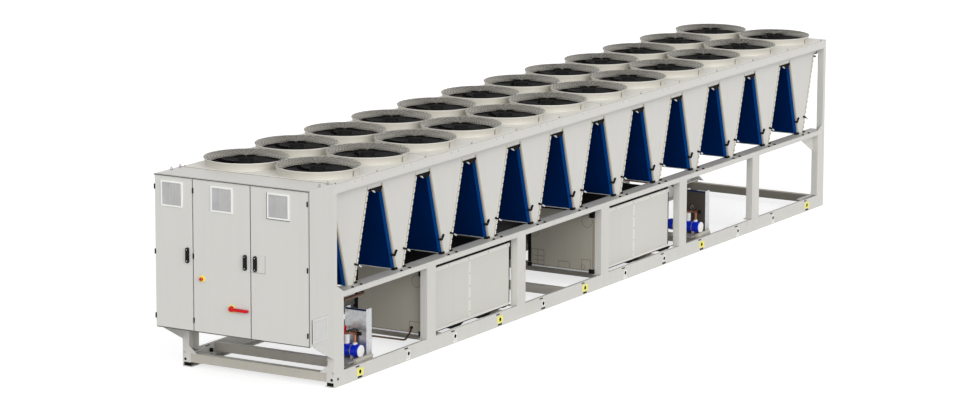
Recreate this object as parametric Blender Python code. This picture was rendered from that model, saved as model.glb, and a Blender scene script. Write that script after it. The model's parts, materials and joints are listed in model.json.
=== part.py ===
"""Air-cooled screw chiller: a long V-coil machine on an open base frame, with a control cabinet at one end.

Metres, +Z up. The long side faces -Y, the control cabinet stands at the -X end, and the origin is on the
ground under the middle of the whole machine.
"""

import math

import bmesh
import bpy
from mathutils import Matrix, Vector


# Driving dimensions

MODULE_LENGTH = 1.15
MODULES = 12
MODULES_PER_BAY = 2
FRAME_WIDTH = 2.28
DECK_TOP = 2.567
SEAT = 0.0003

BASE_RAIL_HEIGHT = 0.19
BASE_RAIL_DEPTH = 0.13
BASE_RAIL_WALL = 0.012
LIFT_HOLE_RADIUS = 0.028
LIFT_HOLE_HEIGHT = 0.092
LIFT_HOLE_SEGMENTS = 8
LIFT_HOLE_OFFSET = 0.02
END_PLATE_WALL = 0.01
END_PLATE_BOTTOM = 0.06

POST_WIDTH = 0.22
POST_DEPTH = 0.1
POST_WALL = 0.008
CORNER_POST_WIDTH = 0.07
CORNER_GUSSET = 0.09
FOOT_GUSSET_REACH = 0.12
REAR_GUSSET_REACH = 0.4
REAR_GUSSET_DROP = 0.24
REAR_GUSSET_EDGE = 0.02

MID_RAIL_TOP = 1.19
MID_RAIL_HEIGHT = 0.07
MID_RAIL_WIDTH = 0.2
MID_RAIL_WALL = 0.006

CROSS_WIDTH = 0.09
CROSS_HEIGHT = 0.115
CROSS_WALL = 0.008
CROSS_PLACES = (0.045, 0.73, 2.62, 4.18, 5.86, 7.11, 8.45, 9.93, 13.62)

PANEL_INSET = 0.13
PANEL_WALL = 0.01
FOOT_HALF_WIDTH = 0.09
COIL_TOP = 2.36
COIL_TOP_HALF_WIDTH = 0.4265
COIL_THICKNESS = 0.055
CAP_HEIGHT = 0.02
PANEL_BAND_BOTTOM = 2.365
SKIRT_BOTTOM = 2.441
SKIRT_WALL = 0.006
DECK_WALL = 0.006

BELL_SEGMENTS = 18
BELL_EDGE_MARGIN = 0.063
BELL_ROW_GAP = 0.001
BELL_MODULE_GAP = 0.0375
BELL_RIM_WALL = 0.016
BELL_FLARE = 0.0225
BELL_HEIGHT = 0.103
BELL_WALL = 0.004
THROAT_SET_IN = 0.0725
THROAT_TOP_DROP = 0.075
THROAT_DEPTH = 0.17
HUB_RADIUS = 0.12
HUB_HEIGHT = 0.145
HUB_SEGMENTS = 8
ARM_COUNT = 4
ARM_WIDTH = 0.02
ARM_THICKNESS = 0.016
ARM_DROP = 0.01
BLADE_COUNT = 5
BLADE_DROP = 0.087
BLADE_ROOT_RADIUS = 0.096
BLADE_TIP_GAP = 0.012
BLADE_ROOT_ANGLE = 30.0
BLADE_TIP_ANGLE = 20.0
BLADE_RISE = 0.04
BLADE_THICKNESS = 0.01

CABINET_DEPTH = 0.573
CABINET_BOTTOM = 0.62
CABINET_TOP = 2.573
CABINET_WALL = 0.015
CABINET_LIP = 0.04
ROOF_WALL = 0.013
ROOF_OVERHANG = 0.007
BRACKET_WALL = 0.01
BRACKET_REACH = 0.45
BRACKET_DROP = 0.26

DOOR_DEPTH = 0.028
DOOR_WALL = 0.004
DOOR_TOP = 2.555
DOOR_BOTTOM = 0.64
DOOR_MARGIN = 0.01
FIRST_DOOR_WIDTH = 0.558
MIDDLE_DOOR_WIDTH = 0.8425
FIRST_REVEAL = 0.017
SECOND_REVEAL = 0.01
HINGE_RADIUS = 0.006
HINGE_OFFSET = 0.004
HINGE_HEIGHT = 0.06
HINGE_TAB = 0.03
HINGE_HEIGHTS = (0.775, 1.59, 2.414)
HANDLE_WIDTH = 0.04
HANDLE_HEIGHT = 0.172
HANDLE_PROUD = 0.028
HANDLE_BOTTOM = 1.505
HANDLE_INSET = 0.07
VENT_SIZE = 0.32
VENT_RIM = 0.03
VENT_PROUD = 0.01
VENT_TOP_MARGIN = 0.052
DOOR_VENT_SHIFTS = (0.02, -0.01, 0.004)
SIDE_VENT_LOW = (0.145, 0.66)
SIDE_VENT_SIZE = (0.355, 0.3)
STOP_FROM_HINGE = 0.125
STOP_HEIGHT = 1.315
STOP_STEPS = ((0.038, 0.012), (0.022, 0.042))
STOP_SEGMENTS = 12

SWITCH_FROM_HINGE = 0.565
SWITCH_HEIGHT = 0.985
SWITCH_RADIUS = 0.04
SWITCH_BOSS_PROUD = 0.033
SWITCH_LEVER_BACK = 0.02475
SWITCH_LEVER = 0.25
SWITCH_LEVER_WIDTH = 0.03
SWITCH_PROUD = 0.055

SOUND_BOX_STARTS = (2.26, 6.75)
SOUND_BOX_LENGTH = 2.235
SOUND_BOX_TOP = 1.045
SOUND_BOX_INSET = 0.11
SOUND_BOX_FAR = 0.0
SOUND_BOX_STRIP = 0.06
SOUND_BOX_STRIP_PROUD = 0.008

EVAPORATOR_START = 5.0
EVAPORATOR_LENGTH = 3.8
EVAPORATOR_RADIUS = 0.3
EVAPORATOR_HEIGHT = 0.6
EVAPORATOR_HEAD = 0.12
EVAPORATOR_SEGMENTS = 12
FLANGE_PROUD = 0.025
FLANGE_WIDTH = 0.04
SADDLE_WIDTH = 0.44
NOZZLE_RADIUS = 0.09
NOZZLE_INSET = 0.3
NOZZLE_END_INSET = 0.07

DRIER_PLACES = (0.842, 10.042)
DRIER_RADIUS = 0.082
DRIER_LENGTH = 0.55
DRIER_LIFT = 0.106
DRIER_CLEARANCE = 0.01
SADDLE_PLACES = (0.1, 0.27)
SADDLE_PLATE = 0.03
SADDLE_HALF_WIDTH = 0.06
TRAY_LOW_REACH = 0.3
TRAY_HIGH_REACH = 0.28
TRAY_WIDTH = 0.34
TRAY_WALL = 0.006
TRAY_LIP = 0.02
UPRIGHT_OFFSET = 0.12
UPRIGHT_DEPTH = 0.124
UPRIGHT_WIDTH = 0.32
UPRIGHT_HEIGHT = 0.62
LIQUID_PIPE_RADIUS = 0.021
LIQUID_RISER_RADIUS = 0.018
LIQUID_PIPE_HEIGHT = 0.225
LIQUID_PIPE_INSET = 0.095
LIQUID_PIPE_LENGTH = 0.4
VALVE_CAP_RADIUS = 0.025
VALVE_CAP_LENGTH = 0.05


# Values worked out from them

FRAME_LENGTH = MODULE_LENGTH * MODULES
BAY_LENGTH = MODULE_LENGTH * MODULES_PER_BAY
BAYS = MODULES // MODULES_PER_BAY
HALF_WIDTH = FRAME_WIDTH / 2
FAN_ROW_OFFSET = (HALF_WIDTH - BELL_EDGE_MARGIN) / 2
BELL_RIM_RADIUS = min(FAN_ROW_OFFSET - BELL_ROW_GAP, MODULE_LENGTH / 2 - BELL_MODULE_GAP)
BELL_BASE_RADIUS = BELL_RIM_RADIUS - BELL_FLARE
THROAT_RADIUS = BELL_RIM_RADIUS - THROAT_SET_IN
OVERALL_LENGTH = FRAME_LENGTH + CABINET_DEPTH + SWITCH_PROUD
FRONT = CABINET_DEPTH + SWITCH_PROUD - OVERALL_LENGTH / 2
REAR = FRONT + FRAME_LENGTH
DOOR_FACE = FRONT - CABINET_DEPTH
MID_RAIL_BOTTOM = MID_RAIL_TOP - MID_RAIL_HEIGHT
DECK_BOTTOM = DECK_TOP - DECK_WALL
PANEL_FACE = HALF_WIDTH - PANEL_INSET
SOUND_BOX_NEAR = -HALF_WIDTH + SOUND_BOX_INSET
EVAPORATOR_Y = HALF_WIDTH / 2
PANEL_BACK = PANEL_FACE - PANEL_WALL
HINGE_AXIS_X = DOOR_FACE - HINGE_OFFSET
CROSS_TOP = BASE_RAIL_HEIGHT - BASE_RAIL_WALL - SEAT
FIRST_DOOR_END = HALF_WIDTH - DOOR_MARGIN - FIRST_DOOR_WIDTH
MIDDLE_DOOR_START = FIRST_DOOR_END - FIRST_REVEAL
MIDDLE_DOOR_END = MIDDLE_DOOR_START - MIDDLE_DOOR_WIDTH
DOOR_EDGES = ((HALF_WIDTH - DOOR_MARGIN, FIRST_DOOR_END), (MIDDLE_DOOR_START, MIDDLE_DOOR_END),
              (MIDDLE_DOOR_END - SECOND_REVEAL, -HALF_WIDTH + DOOR_MARGIN))


# Materials

def paint(name, colour, roughness, metallic=0.0):
    material = bpy.data.materials.get(name)
    if material is None:
        material = bpy.data.materials.new(name)
        material.use_nodes = True
        shader = material.node_tree.nodes["Principled BSDF"]
        shader.inputs["Base Color"].default_value = (*colour, 1.0)
        shader.inputs["Roughness"].default_value = roughness
        shader.inputs["Metallic"].default_value = metallic
        material.diffuse_color = (*colour, 1.0)
    return material


def frame_paint():
    return paint("frame_paint", (0.66, 0.63, 0.58), 0.5)


def cabinet_paint():
    return paint("cabinet_paint", (0.68, 0.65, 0.60), 0.45)


def coil_blue():
    return paint("coil_blue", (0.01, 0.04, 0.16), 0.55)


def switch_red():
    return paint("switch_red", (0.65, 0.03, 0.03), 0.4)


def drier_blue():
    return paint("drier_blue", (0.03, 0.16, 0.55), 0.4)


def black_insulation():
    return paint("black_insulation", (0.02, 0.02, 0.022), 0.85)


# Building blocks

def put(name, mesh, material, location=(0.0, 0.0, 0.0)):
    """Place a finished mesh as a named object."""
    mesh.shade_smooth()
    mesh.set_sharp_from_angle(angle=math.radians(32.0))
    mesh.materials.clear()
    mesh.materials.append(material)
    item = bpy.data.objects.new(name, mesh)
    item.location = location
    bpy.context.scene.collection.objects.link(item)
    return item


def closed_mesh(shape):
    """Turn a bmesh into a mesh with its faces outward."""
    bmesh.ops.recalc_face_normals(shape, faces=shape.faces)
    mesh = bpy.data.meshes.new("shape")
    shape.to_mesh(mesh)
    shape.free()
    return mesh


def prism(outline, along, low, high):
    """Extrude a closed outline along one axis, from low to high."""
    shape = bmesh.new()
    rows = {"X": lambda a, b: (low, a, b), "Y": lambda a, b: (a, low, b), "Z": lambda a, b: (a, b, low)}
    steps = {"X": (high - low, 0, 0), "Y": (0, high - low, 0), "Z": (0, 0, high - low)}
    corners = [shape.verts.new(rows[along](a, b)) for a, b in outline]
    face = shape.faces.new(corners)
    grown = bmesh.ops.extrude_face_region(shape, geom=[face])
    moved = [piece for piece in grown["geom"] if isinstance(piece, bmesh.types.BMVert)]
    bmesh.ops.translate(shape, verts=moved, vec=steps[along])
    return closed_mesh(shape)


def block(low, high):
    """A plain box between two corners."""
    outline = [(low[0], low[1]), (high[0], low[1]), (high[0], high[1]), (low[0], high[1])]
    return prism(outline, "Z", low[2], high[2])


def rod(start, end, radius, segments):
    """A solid cylinder between two points."""
    shape = bmesh.new()
    start, end = Vector(start), Vector(end)
    turn = (end - start).to_track_quat("Z", "Y").to_matrix().to_4x4()
    place = Matrix.Translation((start + end) / 2) @ turn
    bmesh.ops.create_cone(shape, cap_ends=True, segments=segments, radius1=radius, radius2=radius,
                          depth=(end - start).length, matrix=place)
    return closed_mesh(shape)


def loft(rings):
    """Bridge a row of closed sections and cap both ends."""
    shape = bmesh.new()
    rows = [[shape.verts.new(point) for point in ring] for ring in rings]
    count = len(rows[0])
    for here, after in zip(rows, rows[1:]):
        for k in range(count):
            shape.faces.new((here[k], here[(k + 1) % count], after[(k + 1) % count], after[k]))
    shape.faces.new(rows[0])
    shape.faces.new(rows[-1])
    return closed_mesh(shape)


def shifted(mesh, offset):
    """A copy of a mesh moved by an offset."""
    copy = mesh.copy()
    copy.transform(Matrix.Translation(offset))
    return copy


def mirrored(mesh):
    """A copy of a mesh mirrored to the other long side."""
    shape = bmesh.new()
    shape.from_mesh(mesh)
    bmesh.ops.scale(shape, verts=shape.verts, vec=(1.0, -1.0, 1.0))
    return closed_mesh(shape)


def combine(base, added=(), removed=()):
    """Join pieces to a base and cut others from it, with exact booleans."""
    scene = bpy.context.scene
    body = bpy.data.objects.new("body", base)
    scene.collection.objects.link(body)
    helpers = []
    for operation, pieces in (("UNION", added), ("DIFFERENCE", removed)):
        for piece in pieces:
            helper = bpy.data.objects.new("helper", piece)
            helper.hide_render = True
            helper.display_type = "WIRE"
            scene.collection.objects.link(helper)
            helpers.append(helper)
            cut = body.modifiers.new("cut", "BOOLEAN")
            cut.operation = operation
            cut.solver = "EXACT"
            cut.object = helper
    graph = bpy.context.evaluated_depsgraph_get()
    result = bpy.data.meshes.new_from_object(body.evaluated_get(graph))
    for item in (body, *helpers):
        bpy.data.objects.remove(item)
    return result


def channel(width, depth, wall):
    """A channel section, its web along the first axis and its flanges towards +second axis."""
    return [(0, 0), (width, 0), (width, depth), (width - wall, depth), (width - wall, wall),
            (wall, wall), (wall, depth), (0, depth)]


# Base frame

def base_rail():
    """The near C rail, with its lifting holes and the plates that close its ends."""
    outer = -HALF_WIDTH
    section = [(outer + b, a) for a, b in channel(BASE_RAIL_HEIGHT, BASE_RAIL_DEPTH, BASE_RAIL_WALL)]
    rail = prism(section, "X", FRONT, REAR)
    plates = []
    for start in (FRONT, REAR - END_PLATE_WALL):
        low = (start, outer + BASE_RAIL_WALL / 2, END_PLATE_BOTTOM)
        high = (start + END_PLATE_WALL, outer + BASE_RAIL_DEPTH - BASE_RAIL_WALL,
                BASE_RAIL_HEIGHT - BASE_RAIL_WALL / 2)
        plates.append(block(low, high))
    holes = []
    for module in range(MODULES):
        along = FRONT + MODULE_LENGTH * (module + 0.5) + LIFT_HOLE_OFFSET
        holes.append(rod((along, outer - BASE_RAIL_WALL, LIFT_HOLE_HEIGHT),
                         (along, outer + 2 * BASE_RAIL_WALL, LIFT_HOLE_HEIGHT), LIFT_HOLE_RADIUS,
                         LIFT_HOLE_SEGMENTS))
    return combine(rail, plates, holes)


def make_base_rails():
    rail = base_rail()
    put("base_rail_near", rail, frame_paint())
    put("base_rail_far", mirrored(rail), frame_paint())


def make_cross_members():
    """Channels across the base, tucked under the rails' top flanges."""
    top = CROSS_TOP
    reach = HALF_WIDTH - BASE_RAIL_WALL - SEAT
    for number, place in enumerate(CROSS_PLACES, 1):
        middle = FRONT + place
        inset = END_PLATE_WALL + SEAT
        middle = min(max(middle, FRONT + inset + CROSS_WIDTH / 2), REAR - inset - CROSS_WIDTH / 2)
        section = [(middle - CROSS_WIDTH / 2 + a, top - b)
                   for a, b in channel(CROSS_WIDTH, CROSS_HEIGHT, CROSS_WALL)]
        put(f"base_cross_{number}", prism(section, "Y", -reach, reach), frame_paint())


def post_centre(number):
    """Middle of a post, counted from the cabinet end; the end posts are flush with the frame's ends."""
    if number == 0:
        return FRONT + POST_WIDTH / 2
    if number == BAYS:
        return REAR - POST_WIDTH / 2
    return FRONT + number * BAY_LENGTH


def lower_post():
    """A plain post between the base rail and the mid rail, open towards the inside."""
    outer = -HALF_WIDTH
    section = [(a - POST_WIDTH / 2, outer + b) for a, b in channel(POST_WIDTH, POST_DEPTH, POST_WALL)]
    return prism(section, "Z", BASE_RAIL_HEIGHT + SEAT, MID_RAIL_BOTTOM - SEAT)


def corner_post():
    """The cabinet-end post: the lower post carried up to the deck, narrower, with its gussets."""
    outer = -HALF_WIDTH
    left = -POST_WIDTH / 2
    edge = left + POST_WALL / 2
    section = [(left + a, outer + b) for a, b in channel(CORNER_POST_WIDTH, POST_DEPTH, POST_WALL)]
    upper = prism(section, "Z", MID_RAIL_BOTTOM - 2 * POST_WALL, SKIRT_BOTTOM - SEAT)
    foot = MID_RAIL_TOP + SEAT
    gusset = prism([(edge, foot), (left + POST_WIDTH, foot),
                    (left + CORNER_POST_WIDTH, foot + CORNER_GUSSET), (edge, foot + CORNER_GUSSET)],
                   "Y", outer, outer + POST_WALL)
    inner = outer + POST_DEPTH
    rail_edge = outer + BASE_RAIL_DEPTH + SEAT
    rail_top, beam_top = BASE_RAIL_HEIGHT + SEAT, CROSS_TOP + SEAT
    foot_gusset = prism([(inner - POST_WALL / 2, rail_top), (rail_edge, rail_top), (rail_edge, beam_top),
                         (inner + FOOT_GUSSET_REACH, beam_top),
                         (inner - POST_WALL / 2, rail_top + CORNER_GUSSET)],
                        "X", left, left + POST_WALL)
    return combine(lower_post(), [upper, gusset, foot_gusset])


def rear_gusset():
    """The large plate that braces the last post under the mid rail."""
    top = MID_RAIL_BOTTOM - SEAT
    post_edge = -POST_WIDTH / 2
    inner = -HALF_WIDTH + POST_DEPTH
    outline = [(post_edge + POST_WALL / 2, top), (post_edge - REAR_GUSSET_REACH, top),
               (post_edge - REAR_GUSSET_REACH, top - REAR_GUSSET_EDGE), (post_edge, top - REAR_GUSSET_DROP),
               (post_edge + POST_WALL / 2, top - REAR_GUSSET_DROP)]
    return prism(outline, "Y", inner - POST_WALL, inner)


def make_posts():
    plain, corner = lower_post(), corner_post()
    turn_end = Matrix.Scale(-1.0, 4, (1.0, 0.0, 0.0))
    for number in range(BAYS + 1):
        mesh = plain.copy()
        if number in (0, BAYS):
            mesh = corner.copy()
        if number == BAYS:
            shape = bmesh.new()
            shape.from_mesh(mesh)
            bmesh.ops.transform(shape, verts=shape.verts, matrix=turn_end)
            mesh = combine(closed_mesh(shape), [rear_gusset()])
        place = (post_centre(number), 0.0, 0.0)
        put(f"post_near_{number + 1}", mesh, frame_paint(), place)
        put(f"post_far_{number + 1}", mirrored(mesh), frame_paint(), place)


def make_mid_rails():
    """The rails that carry the coils: a wide top flange, a narrow bottom flange on the posts."""
    outer = -HALF_WIDTH
    wall = MID_RAIL_WALL
    section = [(outer, MID_RAIL_BOTTOM), (outer + POST_DEPTH, MID_RAIL_BOTTOM),
               (outer + POST_DEPTH, MID_RAIL_BOTTOM + wall), (outer + wall, MID_RAIL_BOTTOM + wall),
               (outer + wall, MID_RAIL_TOP - wall), (outer + MID_RAIL_WIDTH, MID_RAIL_TOP - wall),
               (outer + MID_RAIL_WIDTH, MID_RAIL_TOP), (outer, MID_RAIL_TOP)]
    inset = CORNER_POST_WIDTH + SEAT
    rail = prism(section, "X", FRONT + inset, REAR - inset)
    put("mid_rail_near", rail, frame_paint())
    put("mid_rail_far", mirrored(rail), frame_paint())


# Coils, side panels and fan deck

def coil_bank():
    """Two V coils of one bay, joined at the top by the strips that close the gaps between them."""
    low, high = MID_RAIL_TOP + SEAT, COIL_TOP
    lean = (COIL_TOP_HALF_WIDTH - FOOT_HALF_WIDTH) / (high - low)
    across = COIL_THICKNESS * math.hypot(1.0, lean)
    foot_top = low + COIL_THICKNESS
    inner_foot = FOOT_HALF_WIDTH + lean * COIL_THICKNESS - across
    outline = [(-BAY_LENGTH / 2 + SEAT / 2, high), (-BAY_LENGTH / 2 + SEAT / 2, high - CAP_HEIGHT)]
    edge_at_cap = COIL_TOP_HALF_WIDTH - lean * CAP_HEIGHT
    for module in range(MODULES_PER_BAY):
        middle = MODULE_LENGTH * (module + 0.5) - BAY_LENGTH / 2
        outline += [(middle - edge_at_cap, high - CAP_HEIGHT), (middle - FOOT_HALF_WIDTH, low),
                    (middle + FOOT_HALF_WIDTH, low), (middle + edge_at_cap, high - CAP_HEIGHT)]
    outline += [(BAY_LENGTH / 2 - SEAT / 2, high - CAP_HEIGHT), (BAY_LENGTH / 2 - SEAT / 2, high)]
    for module in reversed(range(MODULES_PER_BAY)):
        middle = MODULE_LENGTH * (module + 0.5) - BAY_LENGTH / 2
        outline += [(middle + COIL_TOP_HALF_WIDTH - across, high), (middle + inner_foot, foot_top),
                    (middle - inner_foot, foot_top), (middle - COIL_TOP_HALF_WIDTH + across, high)]
    reach = PANEL_BACK - SEAT
    return prism(outline, "Y", -reach, reach)


def make_coil_banks():
    bank = coil_bank()
    for bay in range(BAYS):
        put(f"coil_bank_{bay + 1}", bank.copy(), coil_blue(), (FRONT + BAY_LENGTH * (bay + 0.5), 0.0, 0.0))


def side_panel():
    """The near side: twelve V plates that close the coils, joined by a band and hung from a folded skirt."""
    low = MID_RAIL_TOP + SEAT
    lean = (COIL_TOP_HALF_WIDTH - FOOT_HALF_WIDTH) / (COIL_TOP - low)
    top_half = FOOT_HALF_WIDTH + lean * (PANEL_BAND_BOTTOM - low)
    band_top = SKIRT_BOTTOM + SKIRT_WALL
    outline = [(REAR, band_top), (FRONT, band_top), (FRONT, PANEL_BAND_BOTTOM)]
    for module in range(MODULES):
        middle = FRONT + MODULE_LENGTH * (module + 0.5)
        outline += [(middle - top_half, PANEL_BAND_BOTTOM), (middle - FOOT_HALF_WIDTH, low),
                    (middle + FOOT_HALF_WIDTH, low), (middle + top_half, PANEL_BAND_BOTTOM)]
    outline.append((REAR, PANEL_BAND_BOTTOM))
    plates = prism(outline, "Y", -PANEL_FACE, -PANEL_BACK)
    outer = -HALF_WIDTH
    top = DECK_BOTTOM - SEAT
    section = [(-PANEL_FACE + PANEL_WALL / 2, SKIRT_BOTTOM), (outer, SKIRT_BOTTOM), (outer, top),
               (outer + SKIRT_WALL, top), (outer + SKIRT_WALL, SKIRT_BOTTOM + SKIRT_WALL),
               (-PANEL_FACE + PANEL_WALL / 2, SKIRT_BOTTOM + SKIRT_WALL)]
    return combine(plates, [prism(section, "X", FRONT, REAR)])


def make_side_panels():
    panel = side_panel()
    put("side_panel_near", panel, frame_paint())
    put("side_panel_far", mirrored(panel), frame_paint())


def bell_rings(shape, centre):
    """Add one bell mouth to the sheet: up the outer wall, over the rim and down the throat, back under it."""
    rim = DECK_TOP + BELL_HEIGHT
    profile = [(BELL_BASE_RADIUS, DECK_TOP), (BELL_RIM_RADIUS, rim), (BELL_RIM_RADIUS - BELL_RIM_WALL, rim),
               (THROAT_RADIUS, rim - THROAT_TOP_DROP), (THROAT_RADIUS, rim - THROAT_DEPTH),
               (BELL_BASE_RADIUS - BELL_WALL, DECK_BOTTOM)]
    turns = [2.0 * math.pi * step / BELL_SEGMENTS for step in range(BELL_SEGMENTS)]
    rings = []
    for radius, height in profile:
        rings.append([shape.verts.new((centre[0] + radius * math.cos(turn),
                                       centre[1] + radius * math.sin(turn), height)) for turn in turns])
    for here, after in zip(rings, rings[1:]):
        for k in range(BELL_SEGMENTS):
            following = (k + 1) % BELL_SEGMENTS
            shape.faces.new((here[k], here[following], after[following], after[k]))
    return rings[0], rings[-1]


def ring_edges(shape, ring):
    """The edges that join a ring of vertices."""
    edges = []
    for k, corner in enumerate(ring):
        following = ring[(k + 1) % len(ring)]
        edges.append(shape.edges.get((corner, following)) or shape.edges.new((corner, following)))
    return edges


def deck_sheet(centres):
    """The top sheet of one bay, drawn out of it in one piece with its bell mouths."""
    half = BAY_LENGTH / 2 - SEAT / 2
    corners = [(-half, -HALF_WIDTH), (half, -HALF_WIDTH), (half, HALF_WIDTH), (-half, HALF_WIDTH)]
    shape = bmesh.new()
    upper = [shape.verts.new((x, y, DECK_TOP)) for x, y in corners]
    lower = [shape.verts.new((x, y, DECK_BOTTOM)) for x, y in corners]
    for k in range(len(corners)):
        following = (k + 1) % len(corners)
        shape.faces.new((lower[k], lower[following], upper[following], upper[k]))
    upper_edges, lower_edges = ring_edges(shape, upper), ring_edges(shape, lower)
    for centre in centres:
        top_ring, bottom_ring = bell_rings(shape, centre)
        upper_edges += ring_edges(shape, top_ring)
        lower_edges += ring_edges(shape, bottom_ring)
    for edges in (upper_edges, lower_edges):
        bmesh.ops.triangle_fill(shape, edges=edges, use_beauty=True)
    return closed_mesh(shape)


def blade_section(radius, middle_angle, spread, height):
    """One closed four-point section of a pitched blade."""
    points = []
    for side, lift in ((-1, -1), (1, -1), (1, 1), (-1, 1)):
        angle = middle_angle + side * spread / 2
        rise = side * BLADE_RISE + lift * BLADE_THICKNESS / 2
        points.append((radius * math.cos(angle), radius * math.sin(angle), height + rise))
    return points


def fan():
    """Motor hub on its arms, with the pitched blades below."""
    rim = DECK_TOP + BELL_HEIGHT
    hub = rod((0, 0, rim - HUB_HEIGHT), (0, 0, rim), HUB_RADIUS, HUB_SEGMENTS)
    pieces = []
    reach = BELL_RIM_RADIUS - BELL_RIM_WALL
    for number in range(ARM_COUNT // 2):
        arm = block((-reach, -ARM_WIDTH / 2, rim - ARM_DROP - ARM_THICKNESS),
                    (reach, ARM_WIDTH / 2, rim - ARM_DROP))
        arm.transform(Matrix.Rotation(math.pi / 4 + math.pi * number / 2, 4, "Z"))
        pieces.append(arm)
    tip = THROAT_RADIUS - BLADE_TIP_GAP
    height = rim - BLADE_DROP
    for number in range(BLADE_COUNT):
        angle = 2.0 * math.pi * number / BLADE_COUNT
        root = blade_section(BLADE_ROOT_RADIUS, angle, math.radians(BLADE_ROOT_ANGLE), height)
        end = blade_section(tip, angle, math.radians(BLADE_TIP_ANGLE), height)
        pieces.append(loft([root, end]))
    return combine(hub, pieces)


def fan_deck():
    """The deck of one bay with its four fans hung in their bell mouths."""
    centres = [(MODULE_LENGTH * (module + 0.5) - BAY_LENGTH / 2, row)
               for module in range(MODULES_PER_BAY) for row in (-FAN_ROW_OFFSET, FAN_ROW_OFFSET)]
    one_fan = fan()
    return combine(deck_sheet(centres), [shifted(one_fan, (x, y, 0.0)) for x, y in centres])


def make_fan_decks():
    deck = fan_deck()
    for bay in range(BAYS):
        put(f"fan_deck_{bay + 1}", deck.copy(), frame_paint(), (FRONT + BAY_LENGTH * (bay + 0.5), 0.0, 0.0))


# Control cabinet

def vent_frame(low, high, window_low, window_high):
    """A raised vent frame with a sunk filter field."""
    return combine(block(low, high), (), [block(window_low, window_high)])


def cabinet_bracket(back, side):
    """One side bracket under the cabinet, tapered away from the frame."""
    top = CABINET_BOTTOM + CABINET_WALL / 2
    tip = back - BRACKET_REACH
    outline = [(back, top), (tip, top), (tip, CABINET_BOTTOM - 2 * BRACKET_WALL),
               (back, CABINET_BOTTOM - BRACKET_DROP)]
    edges = sorted((side * HALF_WIDTH, side * (HALF_WIDTH - BRACKET_WALL)))
    return prism(outline, "Y", *edges)


def side_vent():
    """The vent in the cabinet's near side."""
    right, low = FRONT - SIDE_VENT_LOW[0], SIDE_VENT_LOW[1]
    left, high = right - SIDE_VENT_SIZE[0], low + SIDE_VENT_SIZE[1]
    face = -HALF_WIDTH
    return vent_frame((left, face - VENT_PROUD, low), (right, face + CABINET_WALL / 2, high),
                      (left + VENT_RIM, face - 2 * VENT_PROUD, low + VENT_RIM),
                      (right - VENT_RIM, face - VENT_PROUD / 3, high - VENT_RIM))


def cabinet_shell():
    """Hollow cabinet with a roof, a front lip, two mullions and the brackets that carry it."""
    front = DOOR_FACE + DOOR_DEPTH + SEAT
    back = FRONT - SEAT
    outer = block((front, -HALF_WIDTH, CABINET_BOTTOM), (back, HALF_WIDTH, CABINET_TOP - ROOF_WALL / 2))
    roof = block((DOOR_FACE - ROOF_OVERHANG, -HALF_WIDTH, CABINET_TOP - ROOF_WALL),
                 (back, HALF_WIDTH, CABINET_TOP))
    hollow = block((front + CABINET_WALL, -HALF_WIDTH + CABINET_WALL, CABINET_BOTTOM + CABINET_WALL),
                   (back - CABINET_WALL, HALF_WIDTH - CABINET_WALL, CABINET_TOP - ROOF_WALL - CABINET_WALL))
    mouths = []
    for left, right in DOOR_EDGES:
        mouths.append(block((front - CABINET_WALL, right + CABINET_LIP, DOOR_BOTTOM + CABINET_LIP),
                            (front + 2 * CABINET_WALL, left - CABINET_LIP, DOOR_TOP - CABINET_LIP)))
    shell = combine(outer, [roof], [hollow, *mouths])
    brackets = [cabinet_bracket(back, side) for side in (-1, 1)]
    near_vent = side_vent()
    return combine(shell, [*brackets, near_vent, mirrored(near_vent)])


def door(left, right, hinge_y, handle_y, vent_y):
    """A folded door pan with its hinge knuckles, handle and filter vent."""
    back = DOOR_FACE + DOOR_DEPTH
    leaf = block((DOOR_FACE, right, DOOR_BOTTOM), (back, left, DOOR_TOP))
    pan = block((DOOR_FACE + DOOR_WALL, right + DOOR_WALL, DOOR_BOTTOM + DOOR_WALL),
                (back + DOOR_WALL, left - DOOR_WALL, DOOR_TOP - DOOR_WALL))
    leaf = combine(leaf, (), [pan])
    added = []
    inward = 1 if hinge_y < (left + right) / 2 else -1
    for height in HINGE_HEIGHTS:
        low, high = height - HINGE_HEIGHT / 2, height + HINGE_HEIGHT / 2
        knuckle = rod((HINGE_AXIS_X, hinge_y, low), (HINGE_AXIS_X, hinge_y, high), HINGE_RADIUS, 8)
        edges = sorted((hinge_y, hinge_y + inward * HINGE_TAB))
        tab = block((HINGE_AXIS_X, edges[0], low), (DOOR_FACE + DOOR_WALL / 2, edges[1], high))
        added.append(combine(knuckle, [tab]))
    half = HANDLE_WIDTH / 2
    added.append(block((DOOR_FACE - HANDLE_PROUD, handle_y - half, HANDLE_BOTTOM),
                       (DOOR_FACE + DOOR_WALL / 2, handle_y + half, HANDLE_BOTTOM + HANDLE_HEIGHT)))
    half = VENT_SIZE / 2
    high_z = DOOR_TOP - VENT_TOP_MARGIN
    low_z = high_z - VENT_SIZE
    added.append(vent_frame((DOOR_FACE - VENT_PROUD, vent_y - half, low_z),
                            (DOOR_FACE + DOOR_WALL / 2, vent_y + half, high_z),
                            (DOOR_FACE - 2 * VENT_PROUD, vent_y - half + VENT_RIM, low_z + VENT_RIM),
                            (DOOR_FACE - VENT_PROUD / 3, vent_y + half - VENT_RIM, high_z - VENT_RIM)))
    return leaf, added


def put_on_axis(name, mesh, material, axis_point):
    """Place a moving piece with its origin on its joint's axis."""
    mesh.transform(Matrix.Translation(-Vector(axis_point)))
    return put(name, mesh, material, axis_point)


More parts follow.
